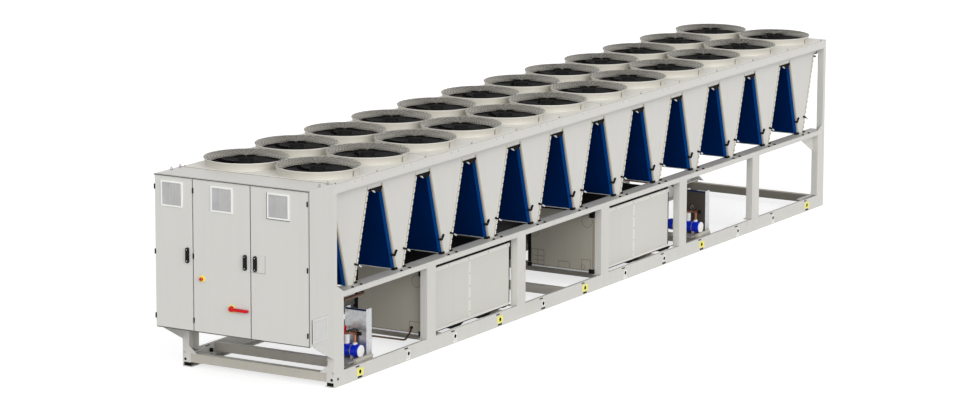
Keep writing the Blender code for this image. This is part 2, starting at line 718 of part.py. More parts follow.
def make_doors():
    for number, (left, right) in enumerate(DOOR_EDGES):
        hinged_left = number < len(DOOR_EDGES) - 1
        hinge_y = left + HINGE_OFFSET if hinged_left else right - HINGE_OFFSET
        handle_y = right + HANDLE_INSET if hinged_left else left - HANDLE_INSET
        vent_y = (left + right) / 2 + DOOR_VENT_SHIFTS[number]
        leaf, added = door(left, right, hinge_y, handle_y, vent_y)
        if number == 1:
            place = (left - STOP_FROM_HINGE, STOP_HEIGHT)
            seat = (DOOR_FACE + DOOR_WALL / 2, *place)
            for radius, proud in STOP_STEPS:
                added.append(rod((DOOR_FACE - proud, *place), seat, radius, STOP_SEGMENTS))
        mesh = combine(leaf, added)
        put_on_axis(f"door_{number + 1}", mesh, cabinet_paint(), (HINGE_AXIS_X, hinge_y, DOOR_BOTTOM))


def make_main_switch():
    """Round boss on the middle door with the long red lever."""
    face = DOOR_FACE - SEAT
    pivot_y, pivot_z = MIDDLE_DOOR_START - SWITCH_FROM_HINGE, SWITCH_HEIGHT
    boss = rod((face - SWITCH_BOSS_PROUD, pivot_y, pivot_z), (face, pivot_y, pivot_z), SWITCH_RADIUS, 16)
    half = SWITCH_LEVER_WIDTH / 2
    lever = block((face - SWITCH_PROUD + SEAT, pivot_y - SWITCH_LEVER, pivot_z - half),
                  (face - SWITCH_LEVER_BACK, pivot_y + half, pivot_z + half))
    put_on_axis("main_switch", combine(boss, [lever]), switch_red(), (face, pivot_y, pivot_z))


# Equipment in the base

def make_sound_boxes():
    """The closed housings over the compressors, on feet that stand on the cross members."""
    bottom = BASE_RAIL_HEIGHT + SEAT
    for number, start in enumerate(SOUND_BOX_STARTS, 1):
        low = FRONT + start
        high = low + SOUND_BOX_LENGTH
        body = block((low, SOUND_BOX_NEAR, bottom), (high, SOUND_BOX_FAR, SOUND_BOX_TOP))
        middle = (low + high) / 2
        added = [block((middle - SOUND_BOX_STRIP / 2, SOUND_BOX_NEAR - SOUND_BOX_STRIP_PROUD, bottom),
                       (middle + SOUND_BOX_STRIP / 2, SOUND_BOX_NEAR + SOUND_BOX_STRIP_PROUD, SOUND_BOX_TOP))]
        foot_near = -HALF_WIDTH + BASE_RAIL_DEPTH + SEAT
        for place in CROSS_PLACES:
            along = FRONT + place
            if low < along < high:
                added.append(block((along - CROSS_WIDTH / 2, foot_near, CROSS_TOP + SEAT),
                                   (along + CROSS_WIDTH / 2, SOUND_BOX_FAR, bottom + BASE_RAIL_WALL)))
        put(f"sound_box_{number}", combine(body, added), cabinet_paint())


def vessel(length):
    """A turned shell along +X from the origin: two domed heads, their flanges and the barrel between."""
    dome = [(EVAPORATOR_HEAD * (1.0 - math.cos(turn)), EVAPORATOR_RADIUS * math.sin(turn))
            for turn in (math.pi / 6, math.pi / 3)]
    flange = EVAPORATOR_RADIUS + FLANGE_PROUD
    flange_end = EVAPORATOR_HEAD + FLANGE_WIDTH
    profile = dome + [(EVAPORATOR_HEAD, EVAPORATOR_RADIUS), (EVAPORATOR_HEAD, flange),
                      (flange_end, flange), (flange_end, EVAPORATOR_RADIUS)]
    profile += [(length - along, radius) for along, radius in reversed(profile)]
    turns = [2.0 * math.pi * step / EVAPORATOR_SEGMENTS for step in range(EVAPORATOR_SEGMENTS)]
    return loft([[(along, radius * math.cos(turn), radius * math.sin(turn)) for turn in turns]
                 for along, radius in profile])


def make_evaporator():
    """The insulated vessel on the far side, on saddles over the cross members, with its water nozzles."""
    low = FRONT + EVAPORATOR_START
    centre_y, centre_z = EVAPORATOR_Y, EVAPORATOR_HEIGHT
    shell = shifted(vessel(EVAPORATOR_LENGTH), (low, centre_y, centre_z))
    added = []
    for place in CROSS_PLACES:
        along = FRONT + place
        if low + EVAPORATOR_HEAD < along < low + EVAPORATOR_LENGTH - EVAPORATOR_HEAD:
            added.append(block((along - CROSS_WIDTH / 2, centre_y - SADDLE_WIDTH / 2, CROSS_TOP + SEAT),
                               (along + CROSS_WIDTH / 2, centre_y + SADDLE_WIDTH / 2, centre_z)))
    for along in (low + NOZZLE_INSET, low + EVAPORATOR_LENGTH - NOZZLE_INSET):
        added.append(rod((along, centre_y, centre_z), (along, HALF_WIDTH - NOZZLE_END_INSET, centre_z),
                         NOZZLE_RADIUS, EVAPORATOR_SEGMENTS))
    put("evaporator", combine(shell, added), black_insulation())


def drier_group():
    """A filter drier in its saddles, the upright behind it and the liquid pipe that rises from it.

    Its origin is on the floor, below the axis of the drier.
    """
    near = -HALF_WIDTH + BASE_RAIL_DEPTH + DRIER_CLEARANCE
    floor = CROSS_TOP + SEAT
    tray_section = [(near + a, floor + b) for a, b in channel(TRAY_WIDTH, TRAY_LIP, TRAY_WALL)]
    tray = prism(tray_section, "X", -TRAY_LOW_REACH, TRAY_HIGH_REACH)
    seat = floor + TRAY_WALL / 2
    axis = floor + DRIER_LIFT
    shell = rod((0.0, near, axis), (0.0, near + DRIER_LENGTH, axis), DRIER_RADIUS, 16)
    saddles = [block((-SADDLE_HALF_WIDTH, y - SADDLE_PLATE / 2, seat),
                     (SADDLE_HALF_WIDTH, y + SADDLE_PLATE / 2, axis))
               for y in (near + place for place in SADDLE_PLACES)]
    inner = near + TRAY_WALL / 2
    section = [(UPRIGHT_OFFSET + b, inner + a) for a, b in channel(UPRIGHT_WIDTH, UPRIGHT_DEPTH, TRAY_WALL)]
    upright = prism(section, "Z", seat, floor + UPRIGHT_HEIGHT)
    riser_y, pipe_z = near + LIQUID_PIPE_INSET, axis + LIQUID_PIPE_HEIGHT
    riser = rod((0.0, riser_y, axis), (0.0, riser_y, pipe_z), LIQUID_RISER_RADIUS, 8)
    pipe = rod((0.0, near + VALVE_CAP_LENGTH / 2, pipe_z), (0.0, near + LIQUID_PIPE_LENGTH, pipe_z),
               LIQUID_PIPE_RADIUS, 8)
    cap = rod((0.0, near, pipe_z), (0.0, near + VALVE_CAP_LENGTH, pipe_z), VALVE_CAP_RADIUS, 8)
    return combine(tray, [*saddles, shell, upright, riser, pipe, cap])


def make_drier_groups():
    group = drier_group()
    for number, place in enumerate(DRIER_PLACES, 1):
        put(f"drier_group_{number}", group.copy(), drier_blue(), (FRONT + place, 0.0, 0.0))


def main():
    for item in list(bpy.data.objects):
        bpy.data.objects.remove(item)
    make_base_rails()
    make_cross_members()
    make_posts()
    make_mid_rails()
    make_coil_banks()
    make_side_panels()
    make_fan_decks()
    put("cabinet_shell", cabinet_shell(), cabinet_paint())
    make_doors()
    make_main_switch()
    make_sound_boxes()
    make_evaporator()
    make_drier_groups()


main()
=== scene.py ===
# %% [markdown]
# # A long air-cooled chiller
# The machine is a steel frame with twelve V-shaped coils on it, a deck of 24 fans on top, two sound boxes with the
# compressors in the base, and a control cabinet at one end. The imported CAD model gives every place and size. This
# script lays materials on its solids, and swaps or dresses the ones that need finer sheet metal, wires and screws.

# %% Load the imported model
import json
import math

import bmesh
import bpy
from mathutils import Matrix, Vector


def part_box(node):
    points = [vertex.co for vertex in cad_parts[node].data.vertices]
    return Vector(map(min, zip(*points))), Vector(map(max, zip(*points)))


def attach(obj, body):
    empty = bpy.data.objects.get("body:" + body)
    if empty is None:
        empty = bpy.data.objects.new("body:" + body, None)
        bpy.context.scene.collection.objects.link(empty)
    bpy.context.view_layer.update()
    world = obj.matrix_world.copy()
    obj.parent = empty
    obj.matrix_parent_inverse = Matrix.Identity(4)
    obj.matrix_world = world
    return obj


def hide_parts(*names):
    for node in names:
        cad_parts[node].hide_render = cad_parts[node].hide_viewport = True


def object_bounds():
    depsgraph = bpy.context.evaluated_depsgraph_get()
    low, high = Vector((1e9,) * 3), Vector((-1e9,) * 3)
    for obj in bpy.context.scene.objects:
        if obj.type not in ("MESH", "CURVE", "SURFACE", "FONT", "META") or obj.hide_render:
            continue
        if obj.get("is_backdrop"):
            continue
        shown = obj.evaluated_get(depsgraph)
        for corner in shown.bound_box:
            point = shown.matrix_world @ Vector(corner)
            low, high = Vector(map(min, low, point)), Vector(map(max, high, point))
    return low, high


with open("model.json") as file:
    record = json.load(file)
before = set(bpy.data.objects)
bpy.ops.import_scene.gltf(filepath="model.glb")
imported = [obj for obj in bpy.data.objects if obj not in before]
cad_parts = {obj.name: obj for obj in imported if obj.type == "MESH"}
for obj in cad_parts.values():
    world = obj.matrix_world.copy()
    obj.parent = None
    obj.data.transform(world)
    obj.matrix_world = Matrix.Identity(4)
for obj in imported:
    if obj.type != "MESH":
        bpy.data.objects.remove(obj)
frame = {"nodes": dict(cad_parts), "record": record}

cad_box = [list(corner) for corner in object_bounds()]
nodes = frame["nodes"]
print("nodes:", len(nodes), "box:", [[round(v, 3) for v in corner] for corner in cad_box])

# %% [markdown]
# ## Sizes read off the model
# A dressed piece has to sit exactly on the solid that carries it. Copying numbers by hand drifts as soon as the solid
# changes, so the main lengths are measured on the loaded pieces.

# %% Measure the main lengths
rail_low, rail_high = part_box("base_rail_near")
deck_low, deck_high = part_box("fan_deck_1")
mid_low, mid_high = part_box("mid_rail_near")
shell_low, shell_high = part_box("cabinet_shell")
door_low, door_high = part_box("door_1")
panel_low, panel_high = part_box("side_panel_near")
MODULES = 12
FRONT, REAR = rail_low[0], rail_high[0]
HALF = -rail_low[1]
PITCH = (REAR - FRONT) / MODULES
RIM = deck_high[2]
DECK = 2.567
MID = mid_high[2]
CABINET_TOP = shell_high[2]
DOOR_FACE = -7.159
VEE_FACE = HALF - 0.13
COIL_TOP, TOP_HALF, FOOT_HALF = 2.36, 0.4265, 0.09
LEAN = (TOP_HALF - FOOT_HALF) / (COIL_TOP - MID)
vee_centres = [FRONT + PITCH * (k + 0.5) for k in range(MODULES)]
fan_centres = [(x, side * (HALF - 0.063) / 2) for x in vee_centres for side in (-1, 1)]
print("pitch", round(PITCH, 4), "rim", round(RIM, 4), "fans", len(fan_centres))


def vee_half(z):
    """Half the width of a V plate at a height."""
    return FOOT_HALF + LEAN * (z - MID)


# %% [markdown]
# ## Camera
# The photograph is taken from far away with a long lens, so the long side hardly tapers. Lines of the frame, the doors
# and the fans were matched to the picture by a least-squares fit, and the camera takes the result as it is.

# %% Set the camera
looked_at = Vector((-0.8825, 0.0026, 1.1694))
azimuth, elevation, distance, roll = math.radians(-59.4354), math.radians(11.1951), 53.8697, 0.0036
back = Vector((math.sin(azimuth) * math.cos(elevation), -math.cos(azimuth) * math.cos(elevation),
               math.sin(elevation)))
across = Vector((0, 0, 1)).cross(back).normalized()
upright = back.cross(across)
right = math.cos(roll) * across + math.sin(roll) * upright
above = -math.sin(roll) * across + math.cos(roll) * upright
camera = bpy.data.objects.new("camera", bpy.data.cameras.new("camera"))
camera.matrix_world = Matrix.Translation(looked_at + back * distance) @ Matrix((right, above, back)).transposed().to_4x4()
camera.data.lens = 144.66
camera.data.sensor_width = 36.0
camera.data.clip_end = 400.0
bpy.context.scene.collection.objects.link(camera)
bpy.context.scene.camera = camera
print("camera at", [round(v, 2) for v in camera.location])

# %% [markdown]
# ## Surfaces as node groups
# Powder coat, bare metal, moulded plastic and coil fins each vary over a surface in their own way. Each is one shader
# group with named inputs, built once and placed in many materials with its own values. A group only puts out colour,
# roughness and normal; the shader itself stays in the material.

# %% Helpers for shader groups
def new_group(name, inputs):
    """A shader group that puts out Colour, Roughness and Normal, with the given inputs."""
    tree = bpy.data.node_groups.new(name, "ShaderNodeTree")
    for label, value in inputs.items():
        kind = "NodeSocketColor" if isinstance(value, tuple) else "NodeSocketFloat"
        socket = tree.interface.new_socket(label, in_out="INPUT", socket_type=kind)
        socket.default_value = (*value, 1.0) if isinstance(value, tuple) else value
    for label, kind in (("Colour", "NodeSocketColor"), ("Roughness", "NodeSocketFloat"), ("Normal", "NodeSocketVector")):
        tree.interface.new_socket(label, in_out="OUTPUT", socket_type=kind)
    return tree, tree.nodes.new("NodeGroupInput"), tree.nodes.new("NodeGroupOutput")


def add_node(tree, kind, links=None, **settings):
    """A node with its properties set and its inputs linked or given values."""
    node = tree.nodes.new(kind)
    for key, value in settings.items():
        setattr(node, key, value)
    for key, value in (links or {}).items():
        if isinstance(value, bpy.types.NodeSocket):
            tree.links.new(value, node.inputs[key])
        else:
            node.inputs[key].default_value = value
    return node


def noise(tree, where, scale, detail=2.0):
    """Noise on the object's own coordinates, in waves per metre."""
    return add_node(tree, "ShaderNodeTexNoise", {"Vector": where, "Scale": scale, "Detail": detail}).outputs["Fac"]


def span(tree, value, low, high, start=0.0, end=1.0):
    """Map a value from start..end to low..high."""
    node = add_node(tree, "ShaderNodeMapRange", {"Value": value, "From Min": start, "From Max": end,
                                                "To Min": low, "To Max": high})
    return node.outputs["Result"]


def shade(tree, colour, factor):
    """Multiply a colour by a factor."""
    node = add_node(tree, "ShaderNodeVectorMath", operation="SCALE")
    tree.links.new(colour, node.inputs[0])
    tree.links.new(factor, node.inputs["Scale"])
    return node.outputs[0]


def combine_maths(tree, operation, first, second):
    """One step of arithmetic on two values."""
    return add_node(tree, "ShaderNodeMath", {0: first, 1: second}, operation=operation).outputs[0]


def bump(tree, height, distance, strength=1.0):
    node = add_node(tree, "ShaderNodeBump", {"Height": height, "Distance": distance, "Strength": strength})
    return node.outputs["Normal"]


# %% Powder coat
def powder_coat_group():
    tree, given, result = new_group("powder_coat", {"Paint": (0.6, 0.6, 0.6), "Gloss Roughness": 0.5, "Cloud": 0.04,
                                                    "Peel": 0.00008, "Dust": 0.06, "Top Dust": 0.12})
    where = add_node(tree, "ShaderNodeTexCoord").outputs["Object"]
    clouds = noise(tree, where, 0.9, 4.0)
    spots = noise(tree, where, 7.0, 3.0)
    swing = add_node(tree, "ShaderNodeMath", {0: clouds, 1: -0.5}, operation="ADD").outputs[0]
    factor = add_node(tree, "ShaderNodeMath", {0: swing, 1: given.outputs["Cloud"], 2: 1.0}, operation="MULTIPLY_ADD")
    rain = add_node(tree, "ShaderNodeMapping", {"Vector": where, "Scale": (9.0, 9.0, 0.35)}, vector_type="POINT")
    streaks = span(tree, noise(tree, rain.outputs[0], 1.0, 4.0), 0.0, 1.0, 0.5, 0.85)
    dusty = combine_maths(tree, "MULTIPLY", streaks, given.outputs["Dust"])
    # Up-facing faces change by the top setting: a positive value darkens them, partly as settled dust and partly as
    # painted shade; a negative value lightens them as painted light.
    facing = add_node(tree, "ShaderNodeSeparateXYZ", {0: add_node(tree, "ShaderNodeNewGeometry").outputs["Normal"]})
    level = span(tree, facing.outputs["Z"], 0.0, 1.0, 0.6, 0.95)
    facing_up_share = combine_maths(tree, "MULTIPLY", level, span(tree, noise(tree, where, 3.0, 5.0), 0.75, 1.25, 0.3, 0.7))
    top_shading_and_dust = combine_maths(tree, "MULTIPLY", facing_up_share, given.outputs["Top Dust"])
    dust_and_shading_factor = combine_maths(tree, "SUBTRACT", combine_maths(tree, "SUBTRACT", 1.0, dusty), top_shading_and_dust)
    colour = shade(tree, shade(tree, given.outputs["Paint"], factor.outputs[0]), dust_and_shading_factor)
    rough = add_node(tree, "ShaderNodeMath", {0: span(tree, spots, -0.06, 0.06), 1: given.outputs["Gloss Roughness"]},
                     operation="ADD").outputs[0]
    node = add_node(tree, "ShaderNodeBump", {"Height": noise(tree, where, 260.0, 1.0), "Distance": given.outputs["Peel"]})
    tree.links.new(colour, result.inputs["Colour"])
    tree.links.new(rough, result.inputs["Roughness"])
    tree.links.new(node.outputs["Normal"], result.inputs["Normal"])
    return tree


# %% Bare metal
def bare_metal_group():
    tree, given, result = new_group("bare_metal", {"Metal": (0.6, 0.6, 0.6), "Tarnish": (0.3, 0.3, 0.3),
                                                   "Patch Scale": 12.0, "Patch Amount": 0.5, "Base Roughness": 0.35})
    where = add_node(tree, "ShaderNodeTexCoord").outputs["Object"]
    scaled = add_node(tree, "ShaderNodeVectorMath", operation="SCALE")
    tree.links.new(where, scaled.inputs[0])
    tree.links.new(given.outputs["Patch Scale"], scaled.inputs["Scale"])
    patches = span(tree, noise(tree, scaled.outputs[0], 1.0, 6.0), 0.0, 1.0, 0.38, 0.66)
    amount = combine_maths(tree, "MULTIPLY", patches, given.outputs["Patch Amount"])
    mixed = add_node(tree, "ShaderNodeMix", {0: amount, 6: given.outputs["Metal"], 7: given.outputs["Tarnish"]},
                     data_type="RGBA")
    rough = combine_maths(tree, "ADD", given.outputs["Base Roughness"], span(tree, amount, 0.0, 0.25))
    tree.links.new(mixed.outputs[2], result.inputs["Colour"])
    tree.links.new(rough, result.inputs["Roughness"])
    tree.links.new(bump(tree, noise(tree, where, 90.0, 3.0), 0.0002), result.inputs["Normal"])
    return tree


# %% Moulded plastic and foam
def moulded_group():
    tree, given, result = new_group("moulded", {"Plastic": (0.1, 0.1, 0.1), "Skin Roughness": 0.5, "Grain Scale": 900.0,
                                                "Grain": 0.00006, "Fade": 0.15})
    where = add_node(tree, "ShaderNodeTexCoord").outputs["Object"]
    faded = span(tree, noise(tree, where, 5.0, 3.0), 0.0, 1.0, 0.35, 0.7)
    factor = combine_maths(tree, "ADD", 1.0, combine_maths(tree, "MULTIPLY", faded, given.outputs["Fade"]))
    scaled = add_node(tree, "ShaderNodeVectorMath", operation="SCALE")
    tree.links.new(where, scaled.inputs[0])
    tree.links.new(given.outputs["Grain Scale"], scaled.inputs["Scale"])
    pits = add_node(tree, "ShaderNodeTexVoronoi", {"Vector": scaled.outputs[0], "Scale": 1.0}).outputs["Distance"]
    node = add_node(tree, "ShaderNodeBump", {"Height": pits, "Distance": given.outputs["Grain"]})
    rough = combine_maths(tree, "ADD", given.outputs["Skin Roughness"], span(tree, faded, 0.0, 0.08))
    tree.links.new(shade(tree, given.outputs["Plastic"], factor), result.inputs["Colour"])
    tree.links.new(rough, result.inputs["Roughness"])
    tree.links.new(node.outputs["Normal"], result.inputs["Normal"])
    return tree


# %% Coil fins
def fin_pack_group():
    tree, given, result = new_group("fin_pack", {"Fin": (0.01, 0.03, 0.12), "Between": (0.002, 0.008, 0.03),
                                                 "Fin Spacing": 0.004, "Tube Spacing": 0.022, "Face Roughness": 0.5})
    where = add_node(tree, "ShaderNodeTexCoord").outputs["Object"]
    axes = add_node(tree, "ShaderNodeSeparateXYZ", {0: where})

    def ripple(value, spacing):
        turns = combine_maths(tree, "DIVIDE", value, spacing)
        return span(tree, add_node(tree, "ShaderNodeMath", {0: combine_maths(tree, "MULTIPLY", turns, 2 * math.pi)},
                                   operation="SINE").outputs[0], 0.0, 1.0, -1.0, 1.0)

    fins = ripple(axes.outputs["Y"], given.outputs["Fin Spacing"])
    tubes = ripple(axes.outputs["Z"], given.outputs["Tube Spacing"])
    bright = combine_maths(tree, "MULTIPLY", combine_maths(tree, "POWER", fins, 0.7), span(tree, tubes, 0.72, 1.0))
    waves = span(tree, noise(tree, where, 1.6, 3.0), -0.18, 0.18)
    factor = combine_maths(tree, "ADD", bright, waves)
    mixed = add_node(tree, "ShaderNodeMix", {0: factor, 6: given.outputs["Between"], 7: given.outputs["Fin"]},
                     data_type="RGBA")
    tree.links.new(mixed.outputs[2], result.inputs["Colour"])
    tree.links.new(combine_maths(tree, "ADD", given.outputs["Face Roughness"], span(tree, waves, 0.0, 0.1)),
                   result.inputs["Roughness"])
    tree.links.new(bump(tree, bright, 0.0006, 0.6), result.inputs["Normal"])
    return tree


# %% Build the groups and a helper that makes a material from one
POWDER, METAL, PLASTIC, FINS = powder_coat_group(), bare_metal_group(), moulded_group(), fin_pack_group()


def finish_from(name, group, metallic=0.0, specular=0.5, coat=0.0, **values):
    """A material whose colour, roughness and normal come from a group; plain numbers sit on the shader."""
    material = bpy.data.materials.new(name)
    material.use_nodes = True
    tree = material.node_tree
    shader = tree.nodes["Principled BSDF"]
    node = tree.nodes.new("ShaderNodeGroup")
    node.node_tree = group
    for label, value in values.items():
        socket = node.inputs[label.replace("_", " ")]
        socket.default_value = (*value, 1.0) if isinstance(value, tuple) else value
    tree.links.new(node.outputs["Colour"], shader.inputs["Base Color"])
    tree.links.new(node.outputs["Roughness"], shader.inputs["Roughness"])
    tree.links.new(node.outputs["Normal"], shader.inputs["Normal"])
    shader.inputs["Metallic"].default_value = metallic
    shader.inputs["Specular IOR Level"].default_value = specular
    shader.inputs["Coat Weight"].default_value = coat
    return material


# %% Make the materials
# The top setting on these coats darkens up-facing faces as painted shade, with dust, where it is positive (the frame's
# rail tops, the cross beams, and panels and boxes at the default), and lightens them as painted light where it is
# negative (deck, cabinet and the painted shade coat).
frame_coat = finish_from("frame_coat", POWDER, Paint=(0.62, 0.61, 0.575), Gloss_Roughness=0.5, Dust=0.06, Top_Dust=0.24)
panel_coat = finish_from("panel_coat", POWDER, Paint=(0.625, 0.615, 0.585), Gloss_Roughness=0.48, Dust=0.03)
# painted shade: the tan along the folds at the V plates' edges.
hem_coat = finish_from("hem_coat", POWDER, Paint=(0.43, 0.385, 0.29), Gloss_Roughness=0.5)
deck_coat = finish_from("deck_coat", POWDER, Paint=(0.66, 0.645, 0.60), Gloss_Roughness=0.5, Dust=0.1, Top_Dust=-0.06)
bell_coat = finish_from("bell_coat", POWDER, Paint=(0.53, 0.507, 0.45), Gloss_Roughness=0.42, Top_Dust=0.0)
# painted highlight: a brighter coat for lit edges, namely the V plates' outer folds, the deck's front lips and the roof
# lip.
edge_coat = finish_from("edge_coat", POWDER, Paint=(0.78, 0.76, 0.72), Gloss_Roughness=0.42, Dust=0.02, Top_Dust=0.0)
# painted shade: the dark brown on the second drier upright's web.
seam_dark = finish_from("seam_dark", POWDER, specular=0.2, Paint=(0.075, 0.062, 0.050), Gloss_Roughness=0.7, Top_Dust=0.0)
# painted reflection: the navy of the blue coils seen on the zinc uprights.
end_plate_navy = finish_from("end_plate_navy", POWDER, specular=0.2, Paint=(0.004, 0.020, 0.075), Gloss_Roughness=0.5, Top_Dust=0.0)
# painted shade: a darker coat for the cross beams, which sit in shade under the machine.
cross_coat = finish_from("cross_coat", POWDER, specular=0.3, Paint=(0.50, 0.475, 0.42), Gloss_Roughness=0.5, Top_Dust=0.1)
# painted shade: a dark coat for faces that stand in shade, with its tops lightened as painted light; it paints the rear
# cross beam and the strips at the sound boxes' near ends.
shaded_coat = finish_from("shaded_coat", POWDER, specular=0.3, Paint=(0.22, 0.205, 0.17), Gloss_Roughness=0.6, Top_Dust=-1.2)
seam_brown = finish_from("seam_brown", POWDER, Paint=(0.25, 0.22, 0.17), Gloss_Roughness=0.6, Top_Dust=0.0)
cabinet_coat = finish_from("cabinet_coat", POWDER, Paint=(0.605, 0.60, 0.57), Gloss_Roughness=0.45, Dust=0.03, Top_Dust=-0.03)
box_coat = finish_from("box_coat", POWDER, Paint=(0.61, 0.60, 0.56), Gloss_Roughness=0.5, Dust=0.03)
# painted shade: a darker, browner coat for the sound boxes' end faces, which stand in shade.
box_end_coat = finish_from("box_end_coat", POWDER, Paint=(0.40, 0.375, 0.315), Gloss_Roughness=0.6, Top_Dust=0.0)
trim_coat = finish_from("trim_coat", POWDER, Paint=(0.70, 0.685, 0.645), Gloss_Roughness=0.42, Dust=0.02, Top_Dust=0.0)
tray_coat = finish_from("tray_coat", POWDER, Paint=(0.40, 0.385, 0.35), Gloss_Roughness=0.5)
white_frame = finish_from("white_frame", PLASTIC, Plastic=(0.80, 0.80, 0.78), Skin_Roughness=0.45, Fade=0.02)
pale_frame = finish_from("pale_frame", PLASTIC, Plastic=(0.62, 0.62, 0.61), Skin_Roughness=0.5, Fade=0.04)
filter_grey = finish_from("filter_grey", PLASTIC, specular=0.2, Plastic=(0.42, 0.42, 0.425), Skin_Roughness=0.8,
                          Grain_Scale=400.0, Grain=0.0004)
slat_grey = finish_from("slat_grey", PLASTIC, Plastic=(0.50, 0.50, 0.49), Skin_Roughness=0.5, Fade=0.05)
coil_fins = finish_from("coil_fins", FINS, specular=0.0, Fin=(0.0005, 0.030, 0.165), Between=(0.0001, 0.0045, 0.030))
end_plate_blue = finish_from("end_plate_blue", POWDER, specular=0.1, Paint=(0.001, 0.068, 0.30), Gloss_Roughness=0.45, Cloud=0.1)
black_plastic = finish_from("black_plastic", PLASTIC, specular=0.12, Plastic=(0.007, 0.007, 0.008), Skin_Roughness=0.5)
black_rubber = finish_from("black_rubber", PLASTIC, specular=0.1, Plastic=(0.006, 0.006, 0.006), Skin_Roughness=0.8)
foam = finish_from("foam", PLASTIC, Plastic=(0.014, 0.014, 0.015), Skin_Roughness=0.85, Grain_Scale=160.0, Grain=0.0008)
blade_black = finish_from("blade_black", PLASTIC, specular=0.1, Plastic=(0.008, 0.008, 0.009), Skin_Roughness=0.5)
motor_grey = finish_from("motor_grey", POWDER, specular=0.15, Paint=(0.014, 0.014, 0.015), Gloss_Roughness=0.5, Top_Dust=0.0)
guard_wire = finish_from("guard_wire", METAL, specular=0.0, Metal=(0.012, 0.0115, 0.0105), Tarnish=(0.008, 0.0078, 0.007))
zinc = finish_from("zinc", METAL, metallic=0.85, Metal=(0.66, 0.67, 0.68), Tarnish=(0.45, 0.46, 0.48), Patch_Scale=25.0)
screw_steel = finish_from("screw_steel", METAL, metallic=0.7, Metal=(0.38, 0.37, 0.35), Tarnish=(0.2, 0.2, 0.19))
copper = finish_from("copper", METAL, metallic=0.8, Metal=(0.40, 0.17, 0.09), Tarnish=(0.15, 0.065, 0.035))
dark_copper = finish_from("dark_copper", METAL, metallic=0.5, Metal=(0.09, 0.035, 0.018), Tarnish=(0.05, 0.022, 0.012))
aged_copper = finish_from("aged_copper", METAL, metallic=0.6, Metal=(0.11, 0.048, 0.022), Tarnish=(0.06, 0.028, 0.014))
drier_blue = finish_from("drier_blue", POWDER, specular=0.25, coat=0.1, Paint=(0.001, 0.022, 0.58), Gloss_Roughness=0.35,
                         Cloud=0.08, Top_Dust=0.0)
safety_red = finish_from("safety_red", PLASTIC, specular=0.3, Plastic=(0.50, 0.002, 0.004), Skin_Roughness=0.4)
safety_yellow = finish_from("safety_yellow", PLASTIC, Plastic=(0.85, 0.72, 0.03), Skin_Roughness=0.45)
label_yellow = finish_from("label_yellow", PLASTIC, Plastic=(0.85, 0.80, 0.16), Skin_Roughness=0.5, Fade=0.05)
label_white = finish_from("label_white", PLASTIC, Plastic=(0.82, 0.82, 0.80), Skin_Roughness=0.5, Fade=0.02)
print("materials:", len(bpy.data.materials))

# %% [markdown]
# ## Paint the solids that stay
# Most of the CAD solids already have the right shape. Each one takes a better material on its own slot, chosen by the
# material slot that the record gives it, and its mesh is left alone.

# %% Paint the solids
slot_coats = {"frame_paint": frame_coat, "panel_paint": panel_coat, "deck_and_fans": deck_coat, "coil_blue": coil_fins,
              "cabinet_paint": cabinet_coat, "sound_box_paint": box_coat, "black_insulation": foam,
              "drier_parts": drier_blue, "switch_red": safety_red}
for entry in frame["record"]["subparts"]:
    for slot in nodes[entry["node"]].material_slots:
        slot.material = slot_coats[entry["material_slot"]]
# Cross beams 1 to 8 take a darker coat and the rear beam 9 the darkest one: painted shade under the machine.
for number in range(1, 10):
    nodes[f"base_cross_{number}"].material_slots[0].material = cross_coat if number < 9 else shaded_coat

# %% Dark band on the shell behind the doors: gasket and painted shade
shell_coat = cabinet_coat.copy()
shell_coat.name = "shell_coat"
tree = shell_coat.node_tree
shader = tree.nodes["Principled BSDF"]
paint = shader.inputs["Base Color"].links[0].from_socket
depth = add_node(tree, "ShaderNodeSeparateXYZ", {0: add_node(tree, "ShaderNodeTexCoord").outputs["Object"]}).outputs["X"]
# The shell's front, just behind the door faces, is painted dark: partly a gasket, partly painted shade in the gaps
# between the doors.
behind = combine_maths(tree, "LESS_THAN", depth, DOOR_FACE + 0.0295)
gasket_and_gap_shade = add_node(tree, "ShaderNodeMix", {0: behind, 6: paint, 7: (0.09, 0.085, 0.07, 1.0)}, data_type="RGBA")
tree.links.new(gasket_and_gap_shade.outputs[2], shader.inputs["Base Color"])
nodes["cabinet_shell"].material_slots[0].material = shell_coat

# %% [markdown]
# ## Mesh helpers
# Sheet metal, bars and turned pieces are few kinds of shape: a block, an outline drawn along an axis, a rod, a turned
# profile and a bent tube. Each helper adds one to an open bmesh, and `keep` closes it into a piece that rides on a body.

# %% Shapes
def add_prism(shape, outline, along, low, high):
    """Draw a closed outline along one axis, from low to high."""
    rows = {"X": lambda a, b, c: (c, a, b), "Y": lambda a, b, c: (a, c, b), "Z": lambda a, b, c: (a, b, c)}
    here = [shape.verts.new(rows[along](a, b, low)) for a, b in outline]
    there = [shape.verts.new(rows[along](a, b, high)) for a, b in outline]
    faces = [shape.faces.new(here), shape.faces.new(there)]
    for k in range(len(outline)):
        after = (k + 1) % len(outline)
        faces.append(shape.faces.new((here[k], here[after], there[after], there[k])))
    return faces


def add_block(shape, low, high):
    """A box between two corners."""
    return add_prism(shape, [(low[0], low[1]), (high[0], low[1]), (high[0], high[1]), (low[0], high[1])],
                     "Z", low[2], high[2])


def add_pierced(shape, outline, holes, low, high):
    """A plate across the machine's width, pierced by holes; outline and holes are (X, Z) loops."""
    levels = []
    for y in (low, high):
        loops = [[shape.verts.new((a, y, b)) for a, b in loop] for loop in [outline] + holes]
        edges = [shape.edges.new((loop[k], loop[(k + 1) % len(loop)])) for loop in loops for k in range(len(loop))]
        bmesh.ops.triangle_fill(shape, edges=edges, use_beauty=True)
        levels.append(loops)
    for here, there in zip(*levels):
        for k in range(len(here)):
            after = (k + 1) % len(here)
            shape.faces.new((here[k], here[after], there[after], there[k]))


